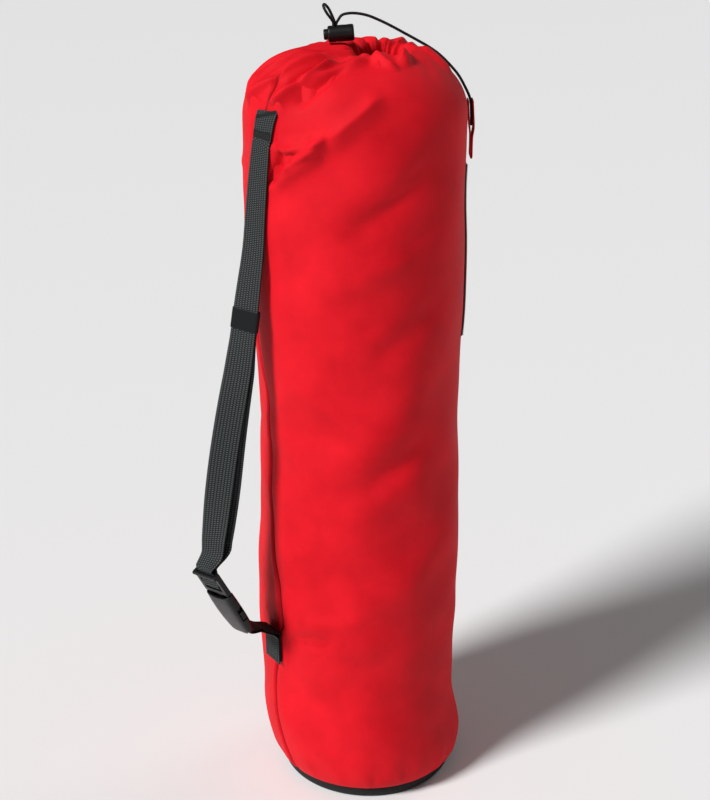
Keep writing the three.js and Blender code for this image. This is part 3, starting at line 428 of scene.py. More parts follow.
def relief_at(around, along):
    """Height of the cloth above the smooth outline, counted from the seam."""
    turn = around + seam_turn(around, along)
    radius = np.interp(along, outline_along, outline_radius)
    seam_off = np.radians(half_turn(around)) * radius
    t = np.radians(turn)
    wave = wave_tall * (np.sin(2 * t + 9 * along + 1) + 0.7 * np.sin(3 * t - 14 * along))
    wave = wave * smooth(0.06, 0.14, along) * (1 - smooth(0.84, 0.92, along))
    pleats = pleat_tall * np.cos(pleat_count * t) * smooth(0.9, 0.97, along) * outside_lobe(turn)
    puckers = pucker_tall * np.cos(pucker_count * t) * (1 - smooth(0.01, 0.07, along))
    sewn_edge = smooth(0.0, 0.03, along)
    rise = wave + pleats + pucker_share * puckers * sewn_edge
    rise = rise + fold_share * fold_relief(turn, along, radius, main_folds, False)
    rise = rise + crease_share * fold_relief(turn, along, radius, creases, True)
    rise = rise + fine_gathers(turn, along) + seam_puckers(around, along)
    rise = rise + seam_profile(seam_off) * seam_fade(along)
    uneven = soft_unevenness(around, along)
    if cloth_sag:
        uneven = uneven + cloth_sag[0](around, along) * smooth(0.02, 0.12, along)
    rise = rise + uneven * outline_calm(turn)
    return (1 - sewn_flat(turn, along)) * rise


# %% Places on the cloth
def ring_points(shift, reach, direction, height):
    """Points of rings that are shifted sideways, as an array of x, y, z."""
    turn = math.radians(front_turn)
    return np.stack([
        shift * math.cos(turn) + reach * np.cos(direction),
        shift * math.sin(turn) + reach * np.sin(direction),
        height,
    ], axis=-1)


def bag_point(around, along, lift=0.0):
    """Points of the cloth, lifted off its outer face, as an array of x, y, z."""
    around, along = np.broadcast_arrays(np.asarray(around, float), np.asarray(along, float))
    radius, height, outward, upward = outline_at(along)
    direction = np.radians(180 + around + seam_turn(around, along))
    rise = relief_at(around, along) + lift
    reach = radius + rise * outward
    dip = lip_dip * np.maximum(0, np.cos(np.radians(around - 90 - front_turn))) * gathered(along) ** 2
    return ring_points(ring_shift(along, height), reach, direction, height + rise * upward - dip)


def sewn_point(turn, height, lift):
    """The same for a sewn patch, from its true direction and height."""
    along = along_at(height)
    return Vector(bag_point(turn - seam_turn(turn, along), along, lift))


print("the strap is sewn on at", [round(v, 3) for v in sewn_point(anchor_turn, anchor_height, 0.0)])

# %% [markdown]
# ## Meshes from grids of points
#
# Cloth, webbing and cord are all sheets that run along something, so one helper turns a grid of points
# into a mesh. It also lays out the UV map in metres, so that a weave of 0.4 mm is 0.4 mm everywhere.
# A closed grid wraps round. The alternative, a primitive with modifiers, gives less control of where
# the rows lie.


# %% Mesh helpers
def link_mesh(name, points, faces, uvs=None, relief=None):
    """A smooth-shaded mesh object. uvs holds one (u, v) for each corner of each face, in order."""
    mesh = bpy.data.meshes.new(name)
    mesh.from_pydata([tuple(p) for p in points], [], [tuple(f) for f in faces])
    if uvs is not None:
        layer = mesh.uv_layers.new(name="metres")
        layer.data.foreach_set("uv", np.asarray(uvs, np.float32).ravel())
    if relief is not None:
        layer = mesh.attributes.new("relief", "FLOAT", "POINT")
        layer.data.foreach_set("value", np.asarray(relief, np.float32).ravel())
    mesh.shade_smooth()
    piece = bpy.data.objects.new(name, mesh)
    scene.collection.objects.link(piece)
    return piece


def grid_faces(rows, columns, closed, start=0):
    """Quads of a grid. A closed grid joins its last column to its first."""
    r, c = np.meshgrid(np.arange(rows - 1), np.arange(columns if closed else columns - 1), indexing="ij")
    n = (c + 1) % columns
    quads = np.stack([r * columns + c, r * columns + n, (r + 1) * columns + n, (r + 1) * columns + c], -1)
    return quads.reshape(-1, 4) + start


def capped_tube(rows, columns, start=0):
    """Quads of a closed grid, and the two faces that close its ends."""
    last = start + (rows - 1) * columns
    caps = [list(range(start + columns - 1, start - 1, -1)), list(range(last, last + columns))]
    return [list(quad) for quad in grid_faces(rows, columns, True, start)] + caps


def grid_uvs(us, vs, closed):
    """Corner UVs that go with grid_faces, from the u of each column and the v of each row."""
    us = np.asarray(us, float)
    last = us[-1] + (us[1] - us[0]) if closed else None
    right = np.append(us[1:], last) if closed else us[1:]
    left = us if closed else us[:-1]
    low, high = np.asarray(vs, float)[:-1], np.asarray(vs, float)[1:]
    shape = (len(low), len(left))
    corners = [(left, low), (right, low), (right, high), (left, high)]
    stacked = [np.stack([np.broadcast_to(u[None, :], shape), np.broadcast_to(v[:, None], shape)], -1)
               for u, v in corners]
    return np.stack(stacked, axis=2).reshape(-1, 2)


# %% Finishing a piece
def finish_piece(piece, material, slot, *nodes, body="bag"):
    """Gives a piece its material, its body, and the CAD nodes that it stands for. The slot is not used."""
    piece.data.materials.clear()
    piece.data.materials.append(material)
    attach(piece, body)
    if nodes:
        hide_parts(*nodes)
    count = sum(len(p.vertices) - 2 for p in piece.data.polygons)
    print(f"{piece.name}: {count} triangles")
    return piece


# %% [markdown]
# ## Building shader groups
#
# Weave, grain and wear show on more than one material, so each is a node group with named sockets.
# Two small helpers keep the node code readable: one adds a node with its settings, and one makes a
# group with its inputs and outputs.


# %% Node helpers
def add_node(tree, kind, inputs=None, **settings):
    """A node with its settings. A plain value sets a socket, and a socket links to it."""
    node = tree.nodes.new(kind)
    for name, value in settings.items():
        setattr(node, name, value)
    for name, value in (inputs or {}).items():
        if isinstance(value, bpy.types.NodeSocket):
            tree.links.new(value, node.inputs[name])
        else:
            node.inputs[name].default_value = value
    return node


def do_math(tree, operation, a, b=0.0, c=None):
    """One Math node, and its result."""
    inputs = {0: a, 1: b} if c is None else {0: a, 1: b, 2: c}
    return add_node(tree, "ShaderNodeMath", inputs, operation=operation).outputs[0]


def new_group(name, inputs, outputs):
    """A shader group with float or vector inputs, and float outputs."""
    tree = bpy.data.node_groups.new(name, "ShaderNodeTree")
    for label, value in inputs.items():
        kind = "NodeSocketVector" if value is None else "NodeSocketFloat"
        socket = tree.interface.new_socket(name=label, in_out="INPUT", socket_type=kind)
        if value is not None:
            socket.default_value = value
    for label in outputs:
        tree.interface.new_socket(name=label, in_out="OUTPUT", socket_type="NodeSocketFloat")
    return tree, tree.nodes.new("NodeGroupInput").outputs, tree.nodes.new("NodeGroupOutput").inputs


# %% [markdown]
# ## Plain weave
#
# Bag cloth is a plain weave: warp and weft take turns on top, like a chessboard of tiny pillows. The
# group works on the UV map in metres. Each square shows either a warp thread, rounded across one way,
# or a weft thread, rounded across the other way. An image texture could do this too, but a formula
# stays sharp at any distance and needs no file.

# %% Weave group
weave_group, weave_in, weave_out = new_group("plain_weave", {"Place": None, "Spacing": 0.0004},
                                             ["Height", "Shade"])
scaled = add_node(weave_group, "ShaderNodeVectorMath", {0: weave_in["Place"]}, operation="SCALE")
per_thread = do_math(weave_group, "DIVIDE", math.pi, weave_in["Spacing"])
weave_group.links.new(per_thread, scaled.inputs["Scale"])
parts = add_node(weave_group, "ShaderNodeSeparateXYZ", {0: scaled.outputs[0]})
warp = do_math(weave_group, "SINE", parts.outputs["X"])
weft = do_math(weave_group, "SINE", parts.outputs["Y"])
over = do_math(weave_group, "GREATER_THAN", do_math(weave_group, "MULTIPLY", warp, weft), 0.0)
warp_top = do_math(weave_group, "MULTIPLY", do_math(weave_group, "ABSOLUTE", warp), over)
under = do_math(weave_group, "SUBTRACT", 1.0, over)
weft_top = do_math(weave_group, "MULTIPLY", do_math(weave_group, "ABSOLUTE", weft), under)
weave_height = do_math(weave_group, "ADD", warp_top, weft_top)
weave_group.links.new(weave_height, weave_out["Height"])
pillow = do_math(weave_group, "MULTIPLY", weave_height, 0.65)
weave_shade = do_math(weave_group, "MULTIPLY_ADD", over, 0.35, pillow)
weave_group.links.new(weave_shade, weave_out["Shade"])
print("plain_weave:", len(weave_group.nodes), "nodes")

# %% [markdown]
# ## Soft mottle, moulded grain and worn edges
#
# No dyed cloth or moulded plastic is even. The mottle is a slow noise that shifts colour and roughness
# a little, with fine specks of dust. The grain is a fine noise for the texture that a mould leaves. The
# wear is found where the surface is pointed, and noise breaks it up, because hands never rub evenly.

# %% Mottle, grain and wear groups
mottle_group, mottle_in, mottle_out = new_group("soft_mottle", {"Place": None, "Scale": 30.0},
                                                ["Shade", "Dust"])
slow = add_node(mottle_group, "ShaderNodeTexNoise",
                {"Vector": mottle_in["Place"], "Scale": mottle_in["Scale"], "Detail": 4.0, "Roughness": 0.55})
mottle_group.links.new(slow.outputs["Fac"], mottle_out["Shade"])
fine_scale = do_math(mottle_group, "MULTIPLY", mottle_in["Scale"], 23.0)
lint = add_node(mottle_group, "ShaderNodeTexNoise",
                {"Vector": mottle_in["Place"], "Scale": fine_scale, "Detail": 2.0, "Roughness": 0.6})
specks = add_node(mottle_group, "ShaderNodeMapRange",
                  {"Value": lint.outputs["Fac"], "From Min": 0.62, "From Max": 0.78})
mottle_group.links.new(specks.outputs[0], mottle_out["Dust"])

grain_group, grain_in, grain_out = new_group("moulded_grain", {"Place": None, "Scale": 1800.0},
                                             ["Height", "Shade"])
grit = add_node(grain_group, "ShaderNodeTexNoise",
                {"Vector": grain_in["Place"], "Scale": grain_in["Scale"], "Detail": 3.0, "Roughness": 0.6})
slower = do_math(grain_group, "MULTIPLY", grain_in["Scale"], 0.06)
flow = add_node(grain_group, "ShaderNodeTexNoise",
                {"Vector": grain_in["Place"], "Scale": slower, "Detail": 3.0, "Roughness": 0.5})
grain_group.links.new(grit.outputs["Fac"], grain_out["Height"])
grain_group.links.new(flow.outputs["Fac"], grain_out["Shade"])

wear_group, wear_in, wear_out = new_group("edge_wear", {"Place": None, "Scale": 220.0}, ["Mask"])
pointed = add_node(wear_group, "ShaderNodeNewGeometry").outputs["Pointiness"]
edge = add_node(wear_group, "ShaderNodeMapRange", {"Value": pointed, "From Min": 0.52, "From Max": 0.6})
rubbed = add_node(wear_group, "ShaderNodeTexNoise",
                  {"Vector": wear_in["Place"], "Scale": wear_in["Scale"], "Detail": 4.0, "Roughness": 0.7})
broken = add_node(wear_group, "ShaderNodeMapRange",
                  {"Value": rubbed.outputs["Fac"], "From Min": 0.35, "From Max": 0.65, "To Min": 0.15})
mask = do_math(wear_group, "MULTIPLY", edge.outputs[0], broken.outputs[0])
wear_group.links.new(mask, wear_out["Mask"])
print("groups:", [group.name for group in bpy.data.node_groups])


# %% [markdown]
# ## A base for every material
#
# Each material has one Principled shader of its own. The helper makes it and returns the tree with the
# two coordinates that the groups use: the UV map in metres, and the place on the object.


# %% Material helper
def new_material(name, roughness, **sockets):
    """A material with one Principled shader, its UV map in metres, and object coordinates."""
    material = bpy.data.materials.new(name)
    material.use_nodes = True
    tree = material.node_tree
    shader = tree.nodes["Principled BSDF"]
    shader.inputs["Roughness"].default_value = roughness
    for label, value in sockets.items():
        shader.inputs[label.replace("_", " ")].default_value = value
    uv = add_node(tree, "ShaderNodeUVMap", uv_map="metres").outputs[0]
    place = add_node(tree, "ShaderNodeTexCoord").outputs["Object"]
    return material, tree, shader, uv, place


def use_group(tree, group, place, **values):
    """Places a group in a material with its own values."""
    node = add_node(tree, "ShaderNodeGroup", node_tree=group)
    tree.links.new(place, node.inputs["Place"])
    for label, value in values.items():
        node.inputs[label].default_value = value
    return node.outputs


# %% Colour and bump helpers
def blend_colours(tree, share, low, high):
    """A colour between two others by a share that changes over the surface."""
    node = add_node(tree, "ShaderNodeMix", data_type="RGBA")
    tree.links.new(share, node.inputs["Factor"])
    for socket, colour in ((node.inputs[6], low), (node.inputs[7], high)):
        if isinstance(colour, bpy.types.NodeSocket):
            tree.links.new(colour, socket)
        else:
            socket.default_value = (*colour, 1.0)
    return node.outputs[2]


def bump_on(tree, shader, *layers):
    """Feeds the shader's normal through one Bump node for each (height, distance, strength)."""
    normal = None
    for height, distance, strength in layers:
        sockets = {"Height": height, "Distance": distance, "Strength": strength}
        node = add_node(tree, "ShaderNodeBump", sockets)
        if normal is not None:
            tree.links.new(normal, node.inputs["Normal"])
        normal = node.outputs[0]
    tree.links.new(normal, shader.inputs["Normal"])


def vary(tree, value, low, high):
    """Maps a value from 0 to 1 onto another range."""
    return add_node(tree, "ShaderNodeMapRange", {"Value": value, "To Min": low, "To Max": high}).outputs[0]


# %% [markdown]
# ## Red cloth
#
# The tube is a brushed polyester in a saturated red. It has hardly any gloss, but its short fuzz
# catches the light at the edges, which is what the sheen on the Principled shader is for. The weave is
# fine, so it shows only close up. Soft patches of a deeper red keep large areas from looking printed,
# and painted shade, marked by the mesh's relief attribute, makes the bottom of the seam's crease nearly
# black.

# %% Red cloth material
red_deep, red_bright = (0.57, 0.0006, 0.008), (0.72, 0.0045, 0.014)
# painted shade: the colour that the bottom of the seam's crease is darkened to
crease_painted_shade = (0.07, 0.0, 0.001)  # the bottom of the seam's crease
cloth_pitch = 0.00042


def red_cloth_material(name, deep, bright, spacing):
    """Brushed woven cloth."""
    material, tree, shader, uv, place = new_material(
        name, 0.7, Sheen_Weight=0.03, Sheen_Roughness=0.4, Sheen_Tint=(1.0, 0.25, 0.2, 1.0),
        Specular_IOR_Level=0.16)
    weave = use_group(tree, weave_group, uv, Spacing=spacing)
    mottle = use_group(tree, mottle_group, place, Scale=26.0)
    patches = add_node(tree, "ShaderNodeMapRange",
                       {"Value": mottle["Shade"], "From Min": 0.32, "From Max": 0.70})
    base = blend_colours(tree, patches.outputs[0], deep, bright)
    threads = blend_colours(tree, vary(tree, weave["Shade"], 0.0, 0.22), base, red_bright)
    # painted shade: the tube's relief attribute marks the seam's crease, and its bottom is darkened here
    gap = add_node(tree, "ShaderNodeAttribute", attribute_name="relief").outputs["Fac"]
    threads = blend_colours(tree, gap, threads, crease_painted_shade)
    tree.links.new(threads, shader.inputs["Base Color"])
    tree.links.new(vary(tree, mottle["Shade"], 0.60, 0.76), shader.inputs["Roughness"])
    bump_on(tree, shader, (mottle["Shade"], 0.0012, 0.6), (weave["Height"], 0.00008, 0.5))
    return material


red_cloth = red_cloth_material("red_cloth", red_deep, red_bright, cloth_pitch)
# painted shade: the tab's copy of the red cloth is painted darker than the bag's
tab_cloth = red_cloth_material("tab_cloth", (0.48, 0.002, 0.006), (0.66, 0.006, 0.014), cloth_pitch)
print("red_cloth:", len(red_cloth.node_tree.nodes), "nodes")

# %% [markdown]
# ## Webbing, mesh, satin and braid
#
# The black trims differ in their yarn. Webbing is polypropylene with a dull shine on the top of each
# yarn, so the height of its relief, kept on the mesh as an attribute, lightens its colour. The base
# panel is a ribbed mesh, the label is satin, and the cords are braided.


# %% Black textile materials
def black_textile(name, low, high, roughness, spacing, sheen, depth):
    """Dark yarn whose raised parts are painted lighter, as a painted highlight. The mesh's relief attribute
    runs from 0 to 1.
    """
    material, tree, shader, uv, place = new_material(
        name, roughness, Sheen_Weight=sheen, Sheen_Roughness=0.35, Sheen_Tint=(0.75, 0.8, 0.8, 1.0),
        Specular_IOR_Level=0.14)
    raised = add_node(tree, "ShaderNodeAttribute", attribute_name="relief").outputs["Fac"]
    weave = use_group(tree, weave_group, uv, Spacing=spacing)
    mottle = use_group(tree, mottle_group, place, Scale=60.0)
    # painted highlight: the raised yarn is given the lighter colour high, for the shine on its tops
    colour = blend_colours(tree, raised, low, high)
    dusty = blend_colours(tree, vary(tree, mottle["Dust"], 0.0, 0.12), colour, (0.08, 0.08, 0.078))
    tree.links.new(dusty, shader.inputs["Base Color"])
    tree.links.new(vary(tree, raised, roughness + 0.12, roughness - 0.06), shader.inputs["Roughness"])
    bump_on(tree, shader, (weave["Height"], depth, 0.6), (mottle["Shade"], 0.0002, 0.2))
    return material


webbing = black_textile("webbing", (0.0012, 0.0013, 0.0013), (0.085, 0.094, 0.095),
                        roughness=0.55, spacing=0.0005, sheen=0.02, depth=0.0001)
base_mesh = black_textile("base_mesh", (0.002, 0.002, 0.002), (0.022, 0.022, 0.024),
                          roughness=0.62, spacing=0.0006, sheen=0.05, depth=0.0001)
braid = black_textile("cord_braid", (0.002, 0.002, 0.002), (0.020, 0.021, 0.022),
                      roughness=0.5, spacing=0.0004, sheen=0.06, depth=0.00006)
zip_tape = black_textile("zip_tape", (0.006, 0.006, 0.007), (0.035, 0.035, 0.038),
                         roughness=0.55, spacing=0.0006, sheen=0.12, depth=0.00008)
black_thread = black_textile("black_thread", (0.004, 0.004, 0.004), (0.016, 0.017, 0.018),
                             roughness=0.45, spacing=0.0003, sheen=0.05, depth=0.00004)
satin = black_textile("label_satin", (0.003, 0.0032, 0.0035), (0.010, 0.011, 0.012),
                      roughness=0.34, spacing=0.00022, sheen=0.08, depth=0.00003)
# the stitches' relief of 0.6 blends this thread 60% towards the crease's painted shade colour
red_thread = red_cloth_material("red_thread", (0.62, 0.003, 0.008), (0.8, 0.01, 0.02), spacing=0.0003)

# %% [markdown]
# ## Moulded plastic
#
# Buckle and cord lock are moulded in black acetal. It is a smooth plastic with a soft sheen, a faint
# grain from the mould, and edges that rub lighter with use. The buckle is a little glossier.


# %% Plastic materials
def moulded_plastic(name, colour, worn, roughness, grain_depth):
    """Black moulded plastic with a fine grain and rubbed edges."""
    material, tree, shader, _, place = new_material(name, roughness, Specular_IOR_Level=0.3)
    grain = use_group(tree, grain_group, place, Scale=2600.0)
    wear = use_group(tree, wear_group, place, Scale=260.0)
    shade = blend_colours(tree, vary(tree, grain["Shade"], 0.0, 0.6), colour, tuple(1.5 * v for v in colour))
    rubbed = blend_colours(tree, vary(tree, wear["Mask"], 0.0, 0.55), shade, worn)
    tree.links.new(rubbed, shader.inputs["Base Color"])
    tree.links.new(vary(tree, grain["Shade"], roughness - 0.06, roughness + 0.1), shader.inputs["Roughness"])
    bump_on(tree, shader, (grain["Height"], grain_depth, 0.4))
    return material


buckle_plastic = moulded_plastic("buckle_plastic", (0.0035, 0.0035, 0.004), (0.05, 0.05, 0.052),
                                 roughness=0.34, grain_depth=0.00003)
lock_plastic = moulded_plastic("lock_plastic", (0.003, 0.003, 0.0034), (0.045, 0.045, 0.047),
                               roughness=0.4, grain_depth=0.00004)
print("materials:", [m.name for m in bpy.data.materials])

# %% [markdown]
# ## Letting the cloth sag
#
# The cloth is a little longer and wider than the mat inside it, so it slumps into soft folds that no
# formula gives. A coarse copy of the tube is grown by a few percent over a firm core, pinned at its foot,
# its mouth and its patches, and left to settle. Only the height of its folds is kept, and it is added to
# the fine surface. Simulating the fine mesh itself would take far longer and would lose sewn details.

# %% Sag simulation
sag_columns, sag_rows, sag_frames = 60, 72, 30
sag_growth, sag_gravity, sag_limit = 0.027, 0.2, 0.0045
core_columns, core_rows = 96, 80
core_gap = 0.0035  # between the cloth's smooth outline and the mat


def firm_core():
    """The rolled mat: a smooth tube just inside the cloth that it can't sink into."""
    around = np.linspace(0, 360, core_columns, endpoint=False)
    along = np.linspace(0, crest_along, core_rows)
    radius, height, outward, upward = outline_at(along[:, None] + 0 * around[None, :])
    direction = np.radians(180 + around[None, :] + seam_turn(around[None, :], along[:, None]))
    shift = ring_shift(along[:, None], height)
    points = ring_points(shift, radius - core_gap * outward, direction, height - core_gap * upward)
    core = link_mesh("mat_core", points.reshape(-1, 3), grid_faces(core_rows, core_columns, True))
    core.modifiers.new("collision", "COLLISION")
    core.collision.thickness_outer, core.collision.cloth_friction = 0.001, 8
    return core


# %% Letting the tube fall
def simulate_sag():
    """Heights of the folds that the tube falls into, as a grid (along, around)."""
    around = np.linspace(0, 360, sag_columns, endpoint=False)
    along = np.linspace(0, 1, sag_rows)
    start = bag_point(around[None, :], along[:, None])
    tube = link_mesh("sag_tube", start.reshape(-1, 3), grid_faces(sag_rows, sag_columns, True))
    held = np.maximum(1 - smooth(0.0, 0.03, along), smooth(0.9, 0.95, along))[:, None]
    twist = seam_turn(around[None, :], along[:, None])
    held = np.maximum(held, sewn_flat(around[None, :] + twist, along[:, None]))
    pins = tube.vertex_groups.new(name="pins")
    for index, weight in enumerate(np.broadcast_to(held, start.shape[:2]).ravel()):
        if weight > 0.01:
            pins.add([index], float(weight), "REPLACE")
    cloth = tube.modifiers.new("cloth", "CLOTH")
    cloth.settings.quality, cloth.settings.mass = 5, 0.25
    cloth.settings.tension_stiffness = cloth.settings.compression_stiffness = 12
    cloth.settings.shear_stiffness, cloth.settings.bending_stiffness = 4, 20
    cloth.settings.effector_weights.gravity = sag_gravity
    cloth.settings.air_damping, cloth.settings.shrink_min = 1.5, -sag_growth
    cloth.settings.vertex_group_mass = "pins"
    cloth.collision_settings.distance_min, cloth.collision_settings.use_self_collision = 0.001, False
    core = firm_core()
    cloth.point_cache.frame_start, cloth.point_cache.frame_end = 1, sag_frames
    for number in range(1, sag_frames + 1):
        scene.frame_set(number)
    fallen = tube.evaluated_get(bpy.context.evaluated_depsgraph_get()).to_mesh()
    end = np.array([v.co for v in fallen.vertices]).reshape(start.shape)
    scene.frame_set(1)
    bpy.data.objects.remove(tube)
    bpy.data.objects.remove(core)
    out = bag_point(around[None, :], along[:, None], 0.001) - start
    out /= np.linalg.norm(out, axis=-1, keepdims=True)
    height = np.sum((end - start) * out, axis=-1)
    print(f"sag: folds from {height.min() * 1000:.1f} to {height.max() * 1000:.1f} mm")
    for _ in range(2):
        height = (np.roll(height, 1, 1) + 2 * height + np.roll(height, -1, 1)) / 4
        height[1:-1] = (height[:-2] + 2 * height[1:-1] + height[2:]) / 4
    waves = np.fft.rfft(height, axis=1)
    waves[:, :4] = 0  # the outline stays the photograph's, and only the folds are added
    height = np.fft.irfft(waves, height.shape[1], axis=1)
    return sag_limit * np.tanh(height / sag_limit)


cloth_sag.append(smooth_field(simulate_sag()))


# %% [markdown]
# ## The cloth tube
#
# The tube is one rectangle of cloth, sewn along its length, with its top turned down into a channel.
# It is built as two skins that meet at the hem and at the base seam: a fine outer skin that carries
# every fold, and an inner one that shows through the mouth. Columns crowd together at the seam, where
# the crease is only about a millimetre wide.

# %% Cloth tube
seam_side = np.array([0.25, 0.55, 0.9, 1.3, 1.8, 2.4, 3.1, 3.9, 4.8])
cloth_columns = np.concatenate([[0.0], seam_side, np.linspace(5.9, 354.1, 280), 360 - seam_side[::-1]])
inner_rows = 46
creased_from = 0.57  # the height from which rows are closer together, for the folds near the shoulder


def cloth_rows():
    """Shares of the outline, closer together at the foot and over the gathers."""
    foot = np.linspace(0, along_at(heel_top), 26)[:-1]
    creased = along_at(creased_from)
    stand = np.concatenate([np.linspace(along_at(heel_top), creased, 98)[:-1],
                            np.linspace(creased, shoulder_start, 36)[:-1]])
    return np.concatenate([foot, stand, np.linspace(shoulder_start, 1, 86)])


def cloth_tube():
    """Outer and inner skin of the tube as one closed mesh."""
    outer_along = cloth_rows()
    inner_along = np.linspace(1, 0, inner_rows)
    outer = bag_point(cloth_columns[None, :], outer_along[:, None])
    inner = bag_point(cloth_columns[None, :], inner_along[:, None], -cloth_wall)
    points = np.concatenate([outer.reshape(-1, 3), inner.reshape(-1, 3)])
    rows, columns = len(outer_along) + inner_rows, len(cloth_columns)
    faces = grid_faces(rows, columns, True)
    last = (rows - 1) * columns
    ring = np.arange(columns)
    foot_strip = np.stack([last + ring, last + (ring + 1) % columns, (ring + 1) % columns, ring], -1)
    girth = np.radians(cloth_columns) * bag_radius
    length = np.concatenate([outer_along, inner_along]) * outline_long
    uvs = grid_uvs(girth, length, True)
    strip_uvs = np.zeros((4 * columns, 2))
    off = np.radians(half_turn(cloth_columns))[None, :] * bag_radius
    faded = seam_fade(np.concatenate([outer_along, inner_along]))[:, None]
    # the relief attribute carries the mask of painted shade at the bottom of the seam's crease
    gap = np.exp(-np.abs(off) / seam_gap) * faded
    return link_mesh("bag_cloth", points, np.concatenate([faces, foot_strip]),
                     np.concatenate([uvs, strip_uvs]), gap)


finish_piece(cloth_tube(), red_cloth, "red_cloth", "bag_body")

# %% [markdown]
# ## The base panel
#
# A ribbed black mesh closes the bottom, and its rim turns up to the seam. The ribs run diagonally and
# are about 0.9 mm apart. They could be bump only, but the rim is seen edge-on in the photograph, so
# they are pressed into the mesh itself, inwards only, so that the panel still lies flat on the floor.

# %% Base panel
base_flat, base_wall = 0.074, 0.002
rib_pair, rib_depth = 0.00175, 0.0004
rim_steps, bottom_steps, base_columns = 14, 7, 1160


def base_panel():
    """The bottom and its rim, ribbed outside and plain inside, as one closed mesh."""
    turn = np.linspace(0, math.pi / 2, rim_steps)
    radius = np.concatenate([np.linspace(0.002, base_flat, bottom_steps)[:-1],
                             base_flat + (foot_radius - base_flat) * np.sin(turn) ** 0.45])
    height = np.concatenate([np.zeros(bottom_steps - 1), base_rim * (1 - np.cos(turn))])
    inner_radius = np.maximum(radius[::-3] - base_wall, 0.001)
    inner_height = np.maximum(height[::-3], base_wall)
    radius, height = np.concatenate([radius, inner_radius]), np.concatenate([height, inner_height])
    around = np.linspace(0, 2 * math.pi, base_columns, endpoint=False)
    run = np.concatenate([[0], np.cumsum(np.hypot(np.diff(radius), np.diff(height)))])
    count = round(2 * math.pi * foot_radius / rib_pair / math.sqrt(2))
    outside = (np.arange(len(radius)) < bottom_steps - 1 + rim_steps) & (radius > 0.03)
    phase = count * around[None, :] + run[:, None] * count / foot_radius
    rib = np.abs(np.sin(phase)) * outside[:, None]
    sink = rib_depth * (outside[:, None] - rib) * smooth(0.0, 0.002, height)[:, None]
    centre = front_point(foot_shift, 0, 0)
    reach = radius[:, None] - sink
    points = np.stack([centre.x + reach * np.cos(around), centre.y + reach * np.sin(around),
                       np.broadcast_to(height[:, None], reach.shape)], -1)
    rows = len(radius)
    uvs = grid_uvs(around * foot_radius, run, True)
    return link_mesh("base_mesh_panel", points.reshape(-1, 3), capped_tube(rows, base_columns),
                     np.concatenate([uvs, np.zeros((2 * base_columns, 2))]), rib)


finish_piece(base_panel(), base_mesh, "base_mesh", "base_panel")

# %% [markdown]
# ## Stitches
#
# Sewing shows as short threads that dip into the cloth at both ends. Each stitch is a small spindle
# between two points, all of a row in one mesh. Bump could fake them, but a spindle throws a real
# shadow.


# %% Stitches
def stitch_mesh(name, ends, radius, sides=6, rings=5):
    """One mesh of spindles, from pairs of end points with the direction that faces out."""
    points, faces, uvs = [], [], []
    for start, end, out in ends:
        start, end, out = Vector(start), Vector(end), Vector(out).normalized()
        along = end - start
        across = along.cross(out).normalized()
        first = len(points)
        for r in range(rings):
            share = r / (rings - 1)
            bulge = math.sin(math.pi * min(max(share, 0.08), 0.92))
            middle = start + along * share + out * radius * (0.9 * bulge - 0.35)
            for s in range(sides):
                angle = 2 * math.pi * s / sides
                size = radius * (0.35 + 0.65 * bulge)
                points.append(middle + across * size * math.cos(angle) + out * size * math.sin(angle))
        for r in range(rings - 1):
            for s in range(sides):
                a, b = first + r * sides + s, first + r * sides + (s + 1) % sides
                faces.append((a, a + sides, b + sides, b))
        faces.append(tuple(first + s for s in range(sides)))
        faces.append(tuple(first + (rings - 1) * sides + s for s in reversed(range(sides))))
    for face in faces:
        uvs.extend((points[i].x, points[i].z) for i in face)
    return link_mesh(name, points, faces, uvs, np.full(len(points), 0.6))


def run_of_stitches(places, outs, length, gap):
    """Stitches of one length along a line of places, with a gap between them."""
    places = [Vector(p) for p in places]
    steps = [(b - a).length for a, b in zip(places, places[1:])]
    reach = np.concatenate([[0], np.cumsum(steps)])
    table = np.array([list(p) for p in places])
    directions = np.array([list(o) for o in outs])
    ends = []
    for at in np.arange(gap / 2, reach[-1] - length, length + gap):
        a = [np.interp(at, reach, table[:, k]) for k in range(3)]
        b = [np.interp(at + length, reach, table[:, k]) for k in range(3)]
        out = [np.interp(at, reach, directions[:, k]) for k in range(3)]
        ends.append((a, b, out))
    return ends


# %% [markdown]
# ## The side pocket and its zip
#
# A flat pocket lies on the far right of the tube, with a zip along its front edge. In the photograph
# only its edge is seen against the light. It is a second layer of cloth that follows the tube's folds:
# its rim drops to the cloth, and a row of stitches runs 3 mm inside it.

# %% Pocket
pocket_from, pocket_to = 144.0, 208.8
pocket_head = bag_height - 0.0995
pocket_foot = pocket_head - 0.155
pocket_wall, pocket_bulge = 0.0014, 0.0025
pocket_rim, pocket_gap, stitch_inset = 0.0022, 0.0002, 0.0032


def pocket_lift(across_share, up_share):
    """Height of the pocket's cloth above the tube, falling to the tube at its rim."""
    width = math.radians(pocket_to - pocket_from) * bag_radius
    height = pocket_head - pocket_foot
    side = np.minimum(across_share, 1 - across_share) * width
    end = np.minimum(up_share, 1 - up_share) * height
    edge = smooth(0, pocket_rim, np.minimum(side, end))
    puff = pocket_bulge * np.sin(np.pi * across_share) * np.sin(np.pi * up_share)
    sewn = 0.0005 * np.exp(-((np.minimum(side, end) - stitch_inset) / 0.0009) ** 2)
    return pocket_gap + (clearance + pocket_wall) * edge + puff - sewn


